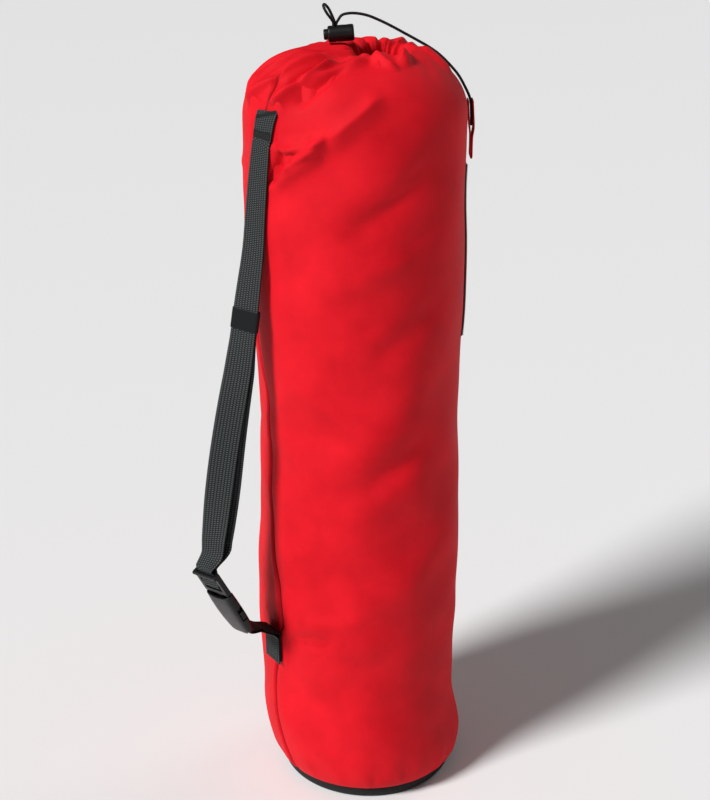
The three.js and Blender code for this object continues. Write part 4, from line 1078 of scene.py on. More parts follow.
def side_pocket():
    """The pocket's panel, closed underneath so that it is a thin solid."""
    across, up = np.linspace(0, 1, 78), np.linspace(0, 1, 112)
    around = pocket_from + (pocket_to - pocket_from) * across
    along = along_at(pocket_foot + (pocket_head - pocket_foot) * up)
    lift = pocket_lift(across[None, :], up[:, None])
    outer = bag_point(around[None, :], along[:, None], lift)
    inner = bag_point(around[None, :], along[:, None], np.full_like(lift, 0.0001))
    rows, columns = lift.shape
    faces = grid_faces(rows, columns, False)
    under = grid_faces(rows, columns, False, rows * columns)[:, ::-1]
    ring = np.concatenate([np.arange(columns), np.arange(1, rows) * columns + columns - 1,
                           (rows - 1) * columns + np.arange(columns - 2, -1, -1),
                           np.arange(rows - 2, 0, -1) * columns])
    following = np.roll(ring, -1)
    rim = np.stack([ring, ring + rows * columns, following + rows * columns, following], -1)
    flat_uv = grid_uvs(np.radians(around) * bag_radius, along * outline_long, False)
    uvs = np.concatenate([flat_uv, flat_uv, np.zeros((4 * len(rim), 2))])
    points = np.concatenate([outer.reshape(-1, 3), inner.reshape(-1, 3)])
    return link_mesh("pocket_panel", points, np.concatenate([faces, under, rim]), uvs)


# %% Pocket stitches
def cloth_line(arounds, alongs, lift):
    """Places on the cloth and the way it faces there."""
    arounds, alongs = np.broadcast_arrays(np.asarray(arounds, float), np.asarray(alongs, float))
    low, high = bag_point(arounds, alongs, lift), bag_point(arounds, alongs, lift + 0.001)
    return list(low), list(high - low)


def pocket_stitches():
    """A row of stitches inside the pocket's rim, on three sides."""
    inset = math.degrees(stitch_inset / bag_radius)
    rise = stitch_inset / outline_long
    low, high = along_at(pocket_foot) + rise, along_at(pocket_head) - rise
    left, right = pocket_from + inset, pocket_to - inset
    lift = pocket_gap + clearance + pocket_wall - 0.0003
    sides = [
        (np.linspace(left, right, 60), np.full(60, low)),
        (np.full(80, right), np.linspace(low, high, 80)),
        (np.linspace(right, left, 60), np.full(60, high)),
        (np.full(80, left), np.linspace(high, low, 80)),
    ]
    ends = []
    for around, along in sides:
        places, outs = cloth_line(around, along, lift)
        ends += run_of_stitches(places, outs, 0.0026, 0.0008)
    return stitch_mesh("pocket_stitches", ends, 0.00022)


finish_piece(side_pocket(), red_cloth, "red_cloth", "side_pocket")
finish_piece(pocket_stitches(), red_thread, "red_cloth")

# %% [markdown]
# The zip is a woven tape with a coil of moulded teeth along its middle. The tape is a low strip, and
# the coil is one thread wound to and fro, which is how a coil zip is really made.

# %% Zip
zip_wide, tooth_pitch = 0.006, 0.0016
zip_half = math.degrees(zip_wide / 2 / bag_radius)
zip_middle = pocket_from - zip_half - math.degrees((clearance + 0.0004) / bag_radius)
coil_radius, coil_sides = 0.00034, 6


def zip_strip():
    """The tape with its teeth, as a tape solid and one wound coil in the same mesh."""
    share = np.linspace(0, 1, 120)
    along = along_at(pocket_foot) + (along_at(pocket_head) - along_at(pocket_foot)) * share
    side = np.array([-1, -0.96, -0.5, 0.5, 0.96, 1, 0.96, -0.96])
    lift = np.array([0.0003, 0.0009, 0.0011, 0.0011, 0.0009, 0.0003, 0.00015, 0.00015])
    tape = bag_point(zip_middle + zip_half * side[None, :], along[:, None], lift[None, :])
    length = (along[-1] - along[0]) * outline_long
    turns = int(length / tooth_pitch)
    phase = np.linspace(0, turns * 2 * math.pi, turns * 10)
    coil_along = along[0] + (along[-1] - along[0]) * phase / phase[-1]
    middle = zip_middle + math.degrees(0.0011 / bag_radius) * np.cos(phase)
    coil_lift = 0.00145 + 0.0004 * np.sin(phase)
    centre = bag_point(middle, coil_along, coil_lift)
    tangent = np.gradient(centre, axis=0)
    tangent /= np.linalg.norm(tangent, axis=1, keepdims=True)
    side_way = np.cross(tangent, [0, 0, 1.0])
    side_way /= np.linalg.norm(side_way, axis=1, keepdims=True)
    up_way = np.cross(side_way, tangent)
    angle = np.linspace(0, 2 * math.pi, coil_sides, endpoint=False)
    rings = centre[:, None] + coil_radius * (np.cos(angle)[None, :, None] * side_way[:, None]
                                             + np.sin(angle)[None, :, None] * up_way[:, None])
    start = tape.size // 3
    faces = capped_tube(len(along), len(side))
    faces += [face[::-1] for face in capped_tube(len(centre), coil_sides, start)]
    points = np.concatenate([tape.reshape(-1, 3), rings.reshape(-1, 3)])
    uvs = np.array([(points[i][1], points[i][2]) for f in faces for i in f])
    relief = np.concatenate([np.full(start, 0.2), np.full(len(points) - start, 0.9)])
    return link_mesh("zip_strip", points, faces, uvs, relief)


finish_piece(zip_strip(), zip_tape, "zip_tape", "pocket_zip")

# %% [markdown]
# ## The strap's route
#
# The strap is one length of 25 mm webbing. It is sewn on near the top, hangs down to the buckle, goes
# round the buckle's bar and comes back up behind itself to the label, which holds both layers. A short
# second length joins the buckle to a patch near the floor. Each route is a list of stations: a place on
# the strap's middle and the direction of its width. They are the CAD part's own stations.


# %% Places on the strap and the buckle
def across_at(turn):
    """The direction of the strap's width, for a face turned this far to the front."""
    angle = math.radians(270 + turn)
    return Vector((math.cos(angle), math.sin(angle), 0))


def lerp(a, b, share):
    return a + (b - a) * share


buckle_reach, buckle_height = 0.163, 0.247
buckle_turn, buckle_pitch, buckle_roll = 11, 25, 12
wrap_radius, wrap_at = 0.0016, 0.012
tail_bar_x, tail_bar_z, buckle_long = 0.0645, -0.0004, 0.070


def make_buckle_space():
    """x runs down the strap from the grip bar, y across it, z out of the buckle's face."""
    facing = Vector((math.cos(math.radians(180 + buckle_turn)), math.sin(math.radians(180 + buckle_turn)), 0))
    level, lean = math.cos(math.radians(buckle_pitch)), math.sin(math.radians(buckle_pitch))
    out = facing * level - Vector((0, 0, lean))
    down = Matrix.Rotation(math.radians(buckle_roll), 3, out) @ (facing * -lean - Vector((0, 0, level)))
    across = out.cross(down)
    space = Matrix((down, across, out)).transposed().to_4x4()
    space.translation = Vector((-buckle_reach, 0, buckle_height))
    return space


buckle_space = make_buckle_space()
buckle_across = buckle_space.to_3x3() @ Vector((0, 1, 0))
print("the buckle's grip bar is at", [round(v, 3) for v in buckle_space.translation])


def in_buckle(x, z):
    return buckle_space @ Vector((x, 0, z)), buckle_across.copy()


def round_bar(x, z, radius, start, end, count):
    """Stations round a bar of the buckle, from one angle to another."""
    angles = np.radians(np.linspace(start, end, count + 1))
    return [in_buckle(x + radius * math.cos(a), z + radius * math.sin(a)) for a in angles]


# %% The hanging run
# up (share of the height from the buckle to the anchor), reach (share of buckle_reach), turn
strap_hang = [(0.985, 0.613, 4), (0.93, 0.627, 7), (0.85, 0.64, 10), (0.76, 0.655, 14), (0.67, 0.69, 21.5),
              (0.64, 0.7015, 25.4), (0.56, 0.7335, 27.4), (0.53, 0.747, 31.5), (0.49, 0.765, 37),
              (0.39, 0.82, 45), (0.29, 0.87, 47), (0.19, 0.912, 42), (0.1, 0.945, 28), (0.045, 0.966, 18)]
hang_reach = curve_of([(up, reach) for up, reach, _ in reversed(strap_hang)])
hang_turn = curve_of([(up, turn) for up, _, turn in reversed(strap_hang)])
layer_gap = curve_of([(0, 0.0075), (0.3, 0.008), (0.6, 0.0055), (0.85, 0.0032), (1, 0.0024)])
hang_top, hang_foot = strap_hang[0][0], strap_hang[-1][0]
anchor_top, anchor_foot = anchor_height + anchor_long / 2, anchor_height - anchor_long / 2
strap_sway, label_at, label_long = 0.0045, 0.41, 0.018
label_up = lerp(hang_top, hang_foot, label_at)
label_half = label_long / 2 / (anchor_foot - buckle_height)
wrap_reach = wrap_radius + clearance + strap_thick / 2
layer_step, label_step = strap_thick + clearance, strap_thick + 2 * clearance
print(f"the label sits at {label_up:.2f} of the way up the hanging run")


def strap_at(up):
    """The middle of the hanging run and the direction of its width, from its share of the height."""
    sway = -strap_sway * float(smooth(0.75, 1, up))
    place = Vector((-float(hang_reach(up)) * buckle_reach, sway, lerp(buckle_height, anchor_foot, up)))
    return place, across_at(float(hang_turn(up)))


def anchor_station(share):
    """A station of the sewn end, from its top at 0 to its foot at 1."""
    turn = anchor_turn + anchor_lean * (0.5 - share)
    height = lerp(anchor_top, anchor_foot, share)
    return sewn_point(turn, height, clearance + strap_thick / 2), across_at(turn)


def upper_stations():
    """The long strap from its sewn end, round the buckle's bar, and back up to the label."""
    stations = [anchor_station(i / 5) for i in range(6)]
    levels = [lerp(hang_top, hang_foot, i / 26) for i in range(27)]
    stations += [strap_at(up) for up in levels]
    stations += [in_buckle(-0.006, -0.0006), in_buckle(0, -0.00035), in_buckle(wrap_at / 2, 0.0009)]
    stations += round_bar(wrap_at, 0, wrap_reach, 115, -100, 6)
    stations += [in_buckle(wrap_at / 2, -0.0031), in_buckle(0, -0.0037), in_buckle(-0.005, -0.0066)]
    back_top = label_up + label_half * 0.8
    back = [hang_foot * 1.3] + [up for up in reversed(levels[:-1]) if up < back_top - 0.01] + [back_top]
    for up in back:
        way = min(max((up - hang_foot) / (label_up - label_half - hang_foot), 0), 1)
        place, across = strap_at(up)
        out = Vector((0, 0, -1)).cross(across).normalized()
        loose = Vector((float(layer_gap(way)), 0, 0))
        stations.append((place + loose.lerp(out * -label_step, float(smooth(0.8, 1, way))), across))
    return stations


# %% The lower strap
patch_top, patch_foot = patch_height + patch_long / 2, patch_height - patch_long / 2


def patch_station(height, layer):
    lift = clearance + strap_thick / 2 + layer * layer_step
    return sewn_point(patch_turn, height, lift), across_at(patch_turn)


def lower_stations():
    """The short strap: two layers from the patch to the buckle's tail bar."""
    tip, fold = in_buckle(tail_bar_x, tail_bar_z)[0], patch_station(patch_top, 0)[0]
    run = tip - fold
    lean = Vector((run.x, 0, run.z)).normalized()
    up_side = Vector((-lean.z, 0, lean.x)) * (1 if lean.x > 0 else -1)

    def between(share, lift):
        across = across_at(patch_turn).lerp(buckle_across, float(smooth(0, 1, share)))
        return fold + run * share + up_side * lift, across

    outer = [patch_station(patch_foot, 1), patch_station(patch_height, 1),
             patch_station(patch_top - 0.005, 1), between(0.16, -0.0019), between(0.4, -0.0015),
             between(0.6, -0.0019), in_buckle(buckle_long + 0.001, 0.001)]
    bend = round_bar(tail_bar_x, tail_bar_z, wrap_reach, 60, 300, 7)
    inner = [in_buckle(buckle_long + 0.001, -0.0028), between(0.6, 0.0012), between(0.4, 0.0006),
             between(0.16, 0.0009), patch_station(patch_top, 0), patch_station(patch_top - 0.004, 0),
             patch_station(patch_height, 0), patch_station(patch_foot + 0.002, 0)]
    return outer + bend + inner


# %% [markdown]
# ## Webbing with its ribs
#
# The webbing is woven in nine ribs, and on each rib the yarn comes up in short floats, set half a step
# apart from rib to rib. The floats are 0.3 mm tall, enough to catch light at this distance, so they are
# real relief on a fine mesh rather than bump. The same helper makes any flat strip that follows stations.


# %% Strips that follow stations
def strip_rows(stations, step):
    """Evenly spaced rows through the stations: places, directions of the width, and outward ones."""
    places = np.array([list(place) for place, _ in stations])
    widths = np.array([list(across.normalized()) for _, across in stations])
    reach = np.concatenate([[0], np.cumsum(np.linalg.norm(np.diff(places, axis=0), axis=1))])
    rows = np.linspace(0, reach[-1], max(4, round(reach[-1] / step)) + 1)
    place = np.stack([curve_of(list(zip(reach, places[:, k])))(rows) for k in range(3)], -1)
    across = np.stack([curve_of(list(zip(reach, widths[:, k])))(rows) for k in range(3)], -1)
    along = np.gradient(place, axis=0)
    along /= np.linalg.norm(along, axis=1, keepdims=True)
    across -= along * np.sum(across * along, axis=1, keepdims=True)
    across /= np.linalg.norm(across, axis=1, keepdims=True)
    return rows, place, across, np.cross(along, across)


def flat_strip(name, stations, wide, thick, step, columns, pattern=None, depth=0.0, ragged=0.0, slant=0.0):
    """A closed strip with soft edges. pattern gives its relief from 0 to 1 at (off, run)."""
    rows, place, across, out = strip_rows(stations, step)
    share = np.concatenate([np.linspace(1, -1, columns), np.linspace(-1, 1, columns)])
    face = np.repeat([1.0, -1.0], columns)
    half = thick / 2 * (1 - 0.4 * np.abs(share) ** 14)
    raised = np.zeros((len(rows), len(share)))
    if pattern:
        raised = pattern(share[None, :] * wide / 2 * face[None, :], rows[:, None])
    ripple = 1 + ragged / (wide / 2) * np.sin(2 * np.pi * rows / float_pitch)
    off = share[None, :] * wide / 2 * ripple[:, None]
    lift = face[None, :] * (half[None, :] + depth * (raised - 0.5))
    points = place[:, None] + across[:, None] * off[..., None] + out[:, None] * lift[..., None]
    drawn = slant * (1 - smooth(0, 0.014, rows))[:, None] * (1 - share[None, :]) / 2
    points = points + np.cross(across, out)[:, None] * drawn[..., None]
    count = 2 * columns
    girth = np.arange(count) * wide / (columns - 1)
    uvs = np.concatenate([grid_uvs(girth, rows, True), np.zeros((2 * count, 2))])
    return link_mesh(name, points.reshape(-1, 3), capped_tube(len(rows), count), uvs, raised.ravel())


# %% The two straps
float_pitch, float_tall, float_ragged = 0.0019, 0.0003, 0.00015
rib_count, strap_columns = 9, 37
anchor_slant = 0.0075  # how much lower the left corner of the sewn end lies


def webbing_floats(off, run):
    """Floats of the yarn: rib_count ribs across, and each rib half a pitch on from the last."""
    across = (off / strap_wide + 0.5) * rib_count
    rib = np.floor(across + 1e-6)
    rounded = np.abs(np.sin(np.pi * across)) ** 0.6
    stepped = 0.5 + 0.5 * np.cos(2 * np.pi * (run / float_pitch + 0.5 * (rib % 2)))
    return rounded * stepped


finish_piece(
    flat_strip("webbing_upper", upper_stations(), strap_wide, strap_thick, float_pitch / 4, strap_columns,
               webbing_floats, float_tall, float_ragged, slant=anchor_slant),
    webbing, "webbing", "strap_upper")
finish_piece(
    flat_strip("webbing_lower", lower_stations(), strap_wide, strap_thick, float_pitch / 4, strap_columns,
               webbing_floats, float_tall, float_ragged),
    webbing, "webbing", "strap_lower")

# %% [markdown]
# ## Label and bar tacks
#
# The label is a folded band of plain satin round both layers. It is made bare. The strap's sewn end is
# held by two bar tacks: rows of thread lying side by side until they cover the webbing. The lower patch
# is held by a rectangle of stitches.


# %% Label
def satin_label():
    """A band round both layers of the strap, open at its top and foot."""
    wall, count = 0.0005, 96
    angle = np.linspace(0, 2 * math.pi, count, endpoint=False)
    side_share = np.sign(np.cos(angle)) * np.abs(np.cos(angle)) ** 0.22
    out_share = np.sign(np.sin(angle)) * np.abs(np.sin(angle)) ** 0.5

    def ring(up, grow):
        place, across = strap_at(up)
        down = (strap_at(up - 0.01)[0] - strap_at(up + 0.01)[0]).normalized()
        side = (across - down * across.dot(down)).normalized()
        out = down.cross(side)
        half_wide = strap_wide / 2 + 0.0005 + grow
        half_thick = label_step / 2 + strap_thick / 2 + 0.0004 + grow
        middle = place - out * label_step / 2
        return (np.array(middle) + side_share[:, None] * half_wide * np.array(side)
                + out_share[:, None] * half_thick * np.array(out))

    shares = np.linspace(-1, 1, 30)
    soft = 0.0002 * np.abs(shares) ** 12
    outer = [ring(label_up - label_half * s, wall - r) for s, r in zip(shares, soft)]
    inner = [ring(label_up - label_half * s, r) for s, r in zip(shares[::-1], soft[::-1])]
    points = np.array(outer + inner)
    rows = len(points)
    faces = grid_faces(rows, count, True)[:, ::-1]
    last, around = (rows - 1) * count, np.arange(count)
    seam = np.stack([around, (around + 1) % count, last + (around + 1) % count, last + around], -1)
    girth = np.linspace(0, 2 * strap_wide, count)
    uvs = grid_uvs(girth, np.concatenate([shares, shares[::-1]]) * label_long / 2, True)
    uvs = uvs.reshape(-1, 4, 2)[:, ::-1].reshape(-1, 2)
    return link_mesh("satin_label", points.reshape(-1, 3), np.concatenate([faces, seam]),
                     np.concatenate([uvs, np.zeros((4 * count, 2))]), np.full(rows * count, 0.5))


finish_piece(satin_label(), satin, "label_satin", "strap_label")


# %% Bar tacks and the box of stitches
def tack(station_at, share, long, lean=0.0, pitch=0.00036):
    """A band of threads side by side across the strap, starting at this share of a sewn patch."""
    ends = []
    for off in np.arange(-0.0115, 0.01151, pitch):
        marks = []
        for step in (0.0, 1.0):
            place, across = station_at(share + step * long + lean * (0.5 - off / strap_wide))
            out = Vector((0, 0, -1)).cross(across).normalized()
            marks.append((place + across * off + out * (strap_thick / 2 + 0.00012), out))
        ends.append((marks[0][0], marks[1][0], marks[0][1]))
    return ends


def box_of_stitches(station_at, low, high, side, lift):
    """A rectangle of stitches on a patch, between two shares of its length."""
    def mark(share, off):
        place, across = station_at(share)
        out = Vector((0, 0, -1)).cross(across).normalized()
        return place + across * off + out * lift, out

    corners = [(low, -side), (low, side), (high, side), (high, -side), (low, -side)]
    ends = []
    for (share_a, off_a), (share_b, off_b) in zip(corners, corners[1:]):
        marks = [mark(lerp(share_a, share_b, t), lerp(off_a, off_b, t)) for t in np.linspace(0, 1, 12)]
        ends += run_of_stitches([m[0] for m in marks], [m[1] for m in marks], 0.0022, 0.0007)
    return ends


def patch_face(share):
    """The outer layer of the lower patch, from its top at 0 to its foot at 1."""
    return patch_station(lerp(patch_top - 0.002, patch_foot, share), 1)


anchor_tacks = tack(anchor_station, 0.74, 0.24) + tack(anchor_station, 0.03, 0.12, anchor_slant / anchor_long)
patch_tacks = box_of_stitches(patch_face, 0.12, 0.88, 0.0098, strap_thick / 2 + 0.00015)
finish_piece(stitch_mesh("anchor_tacks", anchor_tacks, 0.00027), black_thread, "webbing")
finish_piece(stitch_mesh("patch_stitches", patch_tacks, 0.00024), black_thread, "webbing")

# %% [markdown]
# ## Moulded pieces
#
# A moulded part has no sharp edge anywhere. Bevelling a mesh that many cuts have crossed often fails, so
# these pieces are joined and cut from plain solids first. A voxel remesh then turns the result into an
# even skin, and a few steps of smoothing round every edge by the same small amount.


# %% Solids that are joined, cut and softened
def plain_solid(points, faces):
    """A helper object that is only joined or cut, and is deleted afterwards."""
    mesh = bpy.data.meshes.new("blank")
    mesh.from_pydata([tuple(p) for p in points], [], [tuple(f) for f in faces])
    solid = bpy.data.objects.new("blank", mesh)
    scene.collection.objects.link(solid)
    return solid


def box_solid(low, high):
    """A box between two corners."""
    ends = list(zip(low, high))
    points = [(x, y, z) for z in ends[2] for y in ends[1] for x in ends[0]]
    faces = [(0, 2, 3, 1), (4, 5, 7, 6), (0, 1, 5, 4), (2, 6, 7, 3), (0, 4, 6, 2), (1, 3, 7, 5)]
    return plain_solid(points, faces)


def ring_solid(rings):
    """A solid through rings of points along x, closed at both ends."""
    count = len(rings[0])
    points = [p for ring in rings for p in ring]
    return plain_solid(points, capped_tube(len(rings), count))


def turned_solid(profile, axis="x", centre=(0, 0, 0), sides=48):
    """A turned solid. profile holds (place along the axis, radius)."""
    angle = np.linspace(0, 2 * math.pi, sides, endpoint=False)
    rings = []
    for along, radius in profile:
        circle = [(along, radius * math.cos(a), radius * math.sin(a)) for a in angle]
        order = {"x": (0, 1, 2), "y": (2, 0, 1), "z": (1, 2, 0)}[axis]
        rings.append([tuple(p[i] + c for i, c in zip(order, centre)) for p in circle])
    return ring_solid(rings)


def bar_solid(radius, length, x, z):
    """A round bar across the buckle."""
    return turned_solid([(-length / 2, radius), (length / 2, radius)], "y", (x, 0, z), 24)


# %% Softening
def softened(name, joined, cut, voxel, steps, space):
    """Joins and cuts the solids, softens the result, and puts it in its place."""
    body = joined[0]
    for others, operation in ((joined[1:], "UNION"), (cut, "DIFFERENCE")):
        for other in others:
            boolean = body.modifiers.new("boolean", "BOOLEAN")
            boolean.operation, boolean.object, boolean.solver = operation, other, "EXACT"
    remesh = body.modifiers.new("remesh", "REMESH")
    remesh.mode, remesh.voxel_size, remesh.adaptivity = "VOXEL", voxel, 0.0
    rounding = body.modifiers.new("rounding", "SMOOTH")
    rounding.factor, rounding.iterations = 0.5, steps
    bpy.context.view_layer.update()
    baked = bpy.data.meshes.new_from_object(body.evaluated_get(bpy.context.evaluated_depsgraph_get()))
    for solid in joined + cut:
        bpy.data.objects.remove(solid)
    baked.transform(space)
    baked.name = name
    baked.shade_smooth()
    piece = bpy.data.objects.new(name, baked)
    scene.collection.objects.link(piece)
    return piece


# %% [markdown]
# ## The buckle
#
# The buckle's inner half is a frame with a ribbed grip bar, a bar that the strap is wrapped round, and
# two sprung arms. Its outer half is the cover that the arms click into, open at both sides where they
# are pinched. The cover is flat and rounded, scooped at its mouth, and narrows to the tail bar.

# %% Buckle sizes
buckle_wide, buckle_thick = 0.036, 0.011
cover_at, cover_wall, prong_long = 0.021, 0.002, 0.032
rail_inside, rail_thick = strap_wide / 2 + 2 * clearance, 0.0046
buckle_half = buckle_wide / 2
arm_outside = buckle_half - cover_wall - 3 * clearance
window_from = cover_at + prong_long * 0.56
window_to = window_from + 0.014


def mirrored_box(x, y, z):
    """Two boxes, one on each side of the buckle."""
    return [box_solid((x[0], min(s * y[0], s * y[1]), z[0]), (x[1], max(s * y[0], s * y[1]), z[1]))
            for s in (-1, 1)]


# %% Buckle frame
def buckle_frame():
    """The half that the strap is threaded through, with its two arms."""
    rail_out, arm_inside = rail_inside + rail_thick, arm_outside - 0.003
    joined = mirrored_box((-0.0022, cover_at + 0.0012), (rail_inside, rail_out), (-0.0024, 0.0024))
    joined += mirrored_box((cover_at, window_to - 0.003), (arm_inside, arm_outside), (-0.0019, 0.0019))
    joined += mirrored_box((window_from + 0.0045, window_to - 0.001),
                           (arm_outside - 0.001, buckle_half - 0.0004), (-0.0022, 0.0022))
    joined += [bar_solid(0.002, 2 * rail_out, 0, 0.0027),
               bar_solid(wrap_radius, 2 * rail_out - 0.002, wrap_at, 0)]
    joined += [box_solid((cover_at - 0.003, -rail_out, -0.0024), (cover_at + 0.0012, rail_out, 0.0024)),
               box_solid((cover_at, -0.003, -0.0016), (cover_at + prong_long - 0.002, 0.003, 0.0016))]
    ridges = [turned_solid([(-0.0003, 0.00225), (0.0003, 0.00225)], "y", (0, y, 0.0027), 24)
              for y in np.arange(-0.0115, 0.0116, 0.0023)]
    return softened("buckle_frame", joined + ridges, [], 0.0004, 4, buckle_space)


# %% Buckle cover
def cover_ring(x, half_wide, low, high):
    """A rounded oblong across the cover."""
    ring = []
    for i in range(48):
        angle = 2 * math.pi * i / 48
        side = math.copysign(abs(math.cos(angle)) ** 0.42, math.cos(angle))
        lift = math.copysign(abs(math.sin(angle)) ** 0.62, math.sin(angle))
        ring.append((x, half_wide * side, lerp(low, high, (lift + 1) / 2)))
    return ring


def buckle_cover():
    """The half that the arms click into."""
    shape = [(0, 0.98, -0.44, 0.46), (0.2, 1, -0.46, 0.52), (0.45, 1, -0.46, 0.54), (0.65, 0.96, -0.45, 0.52),
             (0.82, 0.89, -0.44, 0.48), (0.94, 0.82, -0.42, 0.44), (1, 0.74, -0.3, 0.38)]
    start = cover_at + 0.0016
    rings = [cover_ring(lerp(start, buckle_long, at), buckle_half * wide,
                        low * buckle_thick, high * buckle_thick) for at, wide, low, high in shape]
    slot_half = strap_wide / 2 + 2 * clearance
    slot_from = tail_bar_x - wrap_radius - strap_thick - 0.001
    cavity = buckle_half - cover_wall
    scoop_radius, scoop_deep = 0.060, 0.0028
    cut = [box_solid((start - 0.001, -cavity, -0.003), (cover_at + prong_long + 0.002, cavity, 0.003))]
    cut += mirrored_box((window_from, window_to), (cavity - 0.0005, buckle_half + 0.002), (-0.0029, 0.0029))
    cut += [box_solid((slot_from, -slot_half, -buckle_thick), (buckle_long + 0.002, slot_half, 0.0035)),
            turned_solid([(-0.02, scoop_radius), (0.02, scoop_radius)], "z",
                         (start + scoop_deep - scoop_radius, 0, 0), 256)]
    return softened("buckle_shell", [ring_solid(rings)], cut, 0.00042, 4, buckle_space)


finish_piece(buckle_frame(), buckle_plastic, "buckle_plastic", "buckle_prongs")
finish_piece(buckle_cover(), buckle_plastic, "buckle_plastic")
finish_piece(softened("tail_bar", [bar_solid(wrap_radius, 0.0282, tail_bar_x, tail_bar_z)], [], 0.00035, 2,
                      buckle_space), buckle_plastic, "buckle_plastic", "buckle_cover")

# %% [markdown]
# ## The cord lock
#
# A small barrel with a button in its left end. A spring behind the button pinches the cords, and
# pressing it lines the holes up. The button is a piece of its own, because it slides.

# %% Cord lock
lock_long, lock_radius, lock_wall = 0.022, 0.0069, 0.0021
lock_shift, lock_tilt, cord_hole = -0.0147, 5, -0.0048
plunger_show, spring_room, plunger_travel = 0.0036, 0.005, 0.003
cord_thick = 0.0025
cord_ring = (cord_thick / 2 + 0.00016) * 2 / math.sqrt(3)
hole_radius = cord_ring + cord_thick / 2 + 0.00025
bore_radius = lock_radius - lock_wall
plunger_radius = bore_radius - clearance


def make_lock_space():
    """x along the barrel, tilted a little up to the right, and z up."""
    low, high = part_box("cord_lock_barrel")
    tilt = Matrix.Rotation(math.radians(-lock_tilt), 4, front_point(0, 1, 0))
    turn = Matrix.Rotation(math.radians(front_turn), 4, "Z")
    middle = front_point(lock_shift, 0, (low.z + high.z) / 2)
    return Matrix.Translation(middle) @ tilt @ turn


lock_space = make_lock_space()


def cord_hole_solid():
    return turned_solid([(-0.02, hole_radius), (0.02, hole_radius)], "z", (cord_hole, 0, 0), 48)


def lock_barrel():
    """The barrel, with its bore and the hole that the cords run through."""
    end, soft = lock_long / 2, 0.0016
    turn = np.linspace(0, math.pi / 2, 6)
    left = [(-end + soft * (1 - math.sin(a)), lock_radius - soft * (1 - math.cos(a))) for a in turn[::-1]]
    right = [(-x, r) for x, r in reversed(left)]
    bore = turned_solid([(-end - 0.001, bore_radius), (end - 0.003, bore_radius)])
    recess = turned_solid([(-0.002, 0.0021), (0.002, 0.0021)], "z", (0.0042, 0, lock_radius + 0.0006), 32)
    return softened("lock_body", [turned_solid(left + right)], [bore, cord_hole_solid(), recess],
                    0.00025, 3, lock_space)


def lock_button():
    """The button, with the slot that lets the cords through."""
    start, end = -lock_long / 2 - plunger_show, lock_long / 2 - 0.003 - spring_room
    turn = np.linspace(0, math.pi / 2, 6)
    dome = [(start + 0.001 * (1 - math.sin(a)), plunger_radius - 0.001 * (1 - math.cos(a)))
            for a in turn[::-1]]
    body = turned_solid(dome + [(end, plunger_radius)])
    slot = box_solid((cord_hole - hole_radius - plunger_travel - 0.0002, -hole_radius, -0.014),
                     (cord_hole + hole_radius, hole_radius, 0.014))
    return softened("lock_button", [body], [slot], 0.00025, 3, lock_space)


finish_piece(lock_barrel(), lock_plastic, "lock_plastic", "cord_lock_barrel")
finish_piece(lock_button(), lock_plastic, "lock_plastic", "cord_lock_plunger", body="plunger")

# %% [markdown]
# ## Cords
#
# A 2.5 mm braided cord runs through the channel at the mouth, up through the lock in a short loop, and
# over the shoulder to a pull tab. The routes are the CAD part's own points with a smooth curve through
# them. The braid is two sets of strands that cross, so its relief is the product of two slanted waves.


# %% Cord helpers
def cord_line(points, step):
    """Evenly spaced places on a smooth curve through the points."""
    table = np.array([list(p) for p in points])
    table = np.vstack([2 * table[0] - table[1], table, 2 * table[-1] - table[-2]])
    pieces = []
    for a, b, c, d in zip(table, table[1:], table[2:], table[3:]):
        ab, bc, cd = (np.linalg.norm(q - p) ** 0.5 for p, q in ((a, b), (b, c), (c, d)))
        leave = ((b - a) / ab - (c - a) / (ab + bc) + (c - b) / bc) * bc
        arrive = ((c - b) / bc - (d - b) / (bc + cd) + (d - c) / cd) * bc
        t = np.linspace(0, 1, 40, endpoint=False)[:, None]
        pieces.append(b + leave * t + (3 * (c - b) - 2 * leave - arrive) * t**2
                      + (2 * (b - c) + leave + arrive) * t**3)
    fine = np.vstack(pieces + [table[-2:-1]])
    reach = np.concatenate([[0], np.cumsum(np.linalg.norm(np.diff(fine, axis=0), axis=1))])
    rows = np.linspace(0, reach[-1], round(reach[-1] / step) + 1)
    return rows, np.stack([np.interp(rows, reach, fine[:, k]) for k in range(3)], -1)


def carried_frames(places):
    """Two directions square to the line at each place, carried along it without twist."""
    along = np.gradient(places, axis=0)
    along /= np.linalg.norm(along, axis=1, keepdims=True)
    side = np.cross(along[0], [0.3, 0.9, 0.2])
    sides = []
    for way in along:
        side = side - way * np.dot(side, way)
        side = side / np.linalg.norm(side)
        sides.append(side)
    sides = np.array(sides)
    return sides, np.cross(along, sides)


# %% Braided cord
def braided_cord(name, points):
    """A braided tube along the points. Returns it with every eighth place of its line."""
    rows, places = cord_line(points, 0.00036)
    side, other = carried_frames(places)
    sides, strands, lay = 24, 6, 0.0062
    angle = np.linspace(0, 2 * math.pi, sides, endpoint=False)
    left = np.cos(0.5 * strands * angle[None, :] + math.pi * strands / 2 * rows[:, None] / lay)
    right = np.cos(0.5 * strands * angle[None, :] - math.pi * strands / 2 * rows[:, None] / lay)
    raised = np.abs(left * right) ** 0.6
    radius = cord_thick / 2 - 0.00022 * (1 - raised)
    points = (places[:, None] + radius[..., None] * (np.cos(angle)[None, :, None] * side[:, None]
                                                     + np.sin(angle)[None, :, None] * other[:, None]))
    uvs = np.concatenate([grid_uvs(angle * cord_thick / 2, rows, True), np.zeros((2 * sides, 2))])
    piece = link_mesh(name, points.reshape(-1, 3), capped_tube(len(rows), sides), uvs, raised.ravel())
    print(f"{name}: {rows[-1] * 1000:.0f} mm long")
    return piece, [tuple(p) for p in places[::8]] + [tuple(places[-1])]


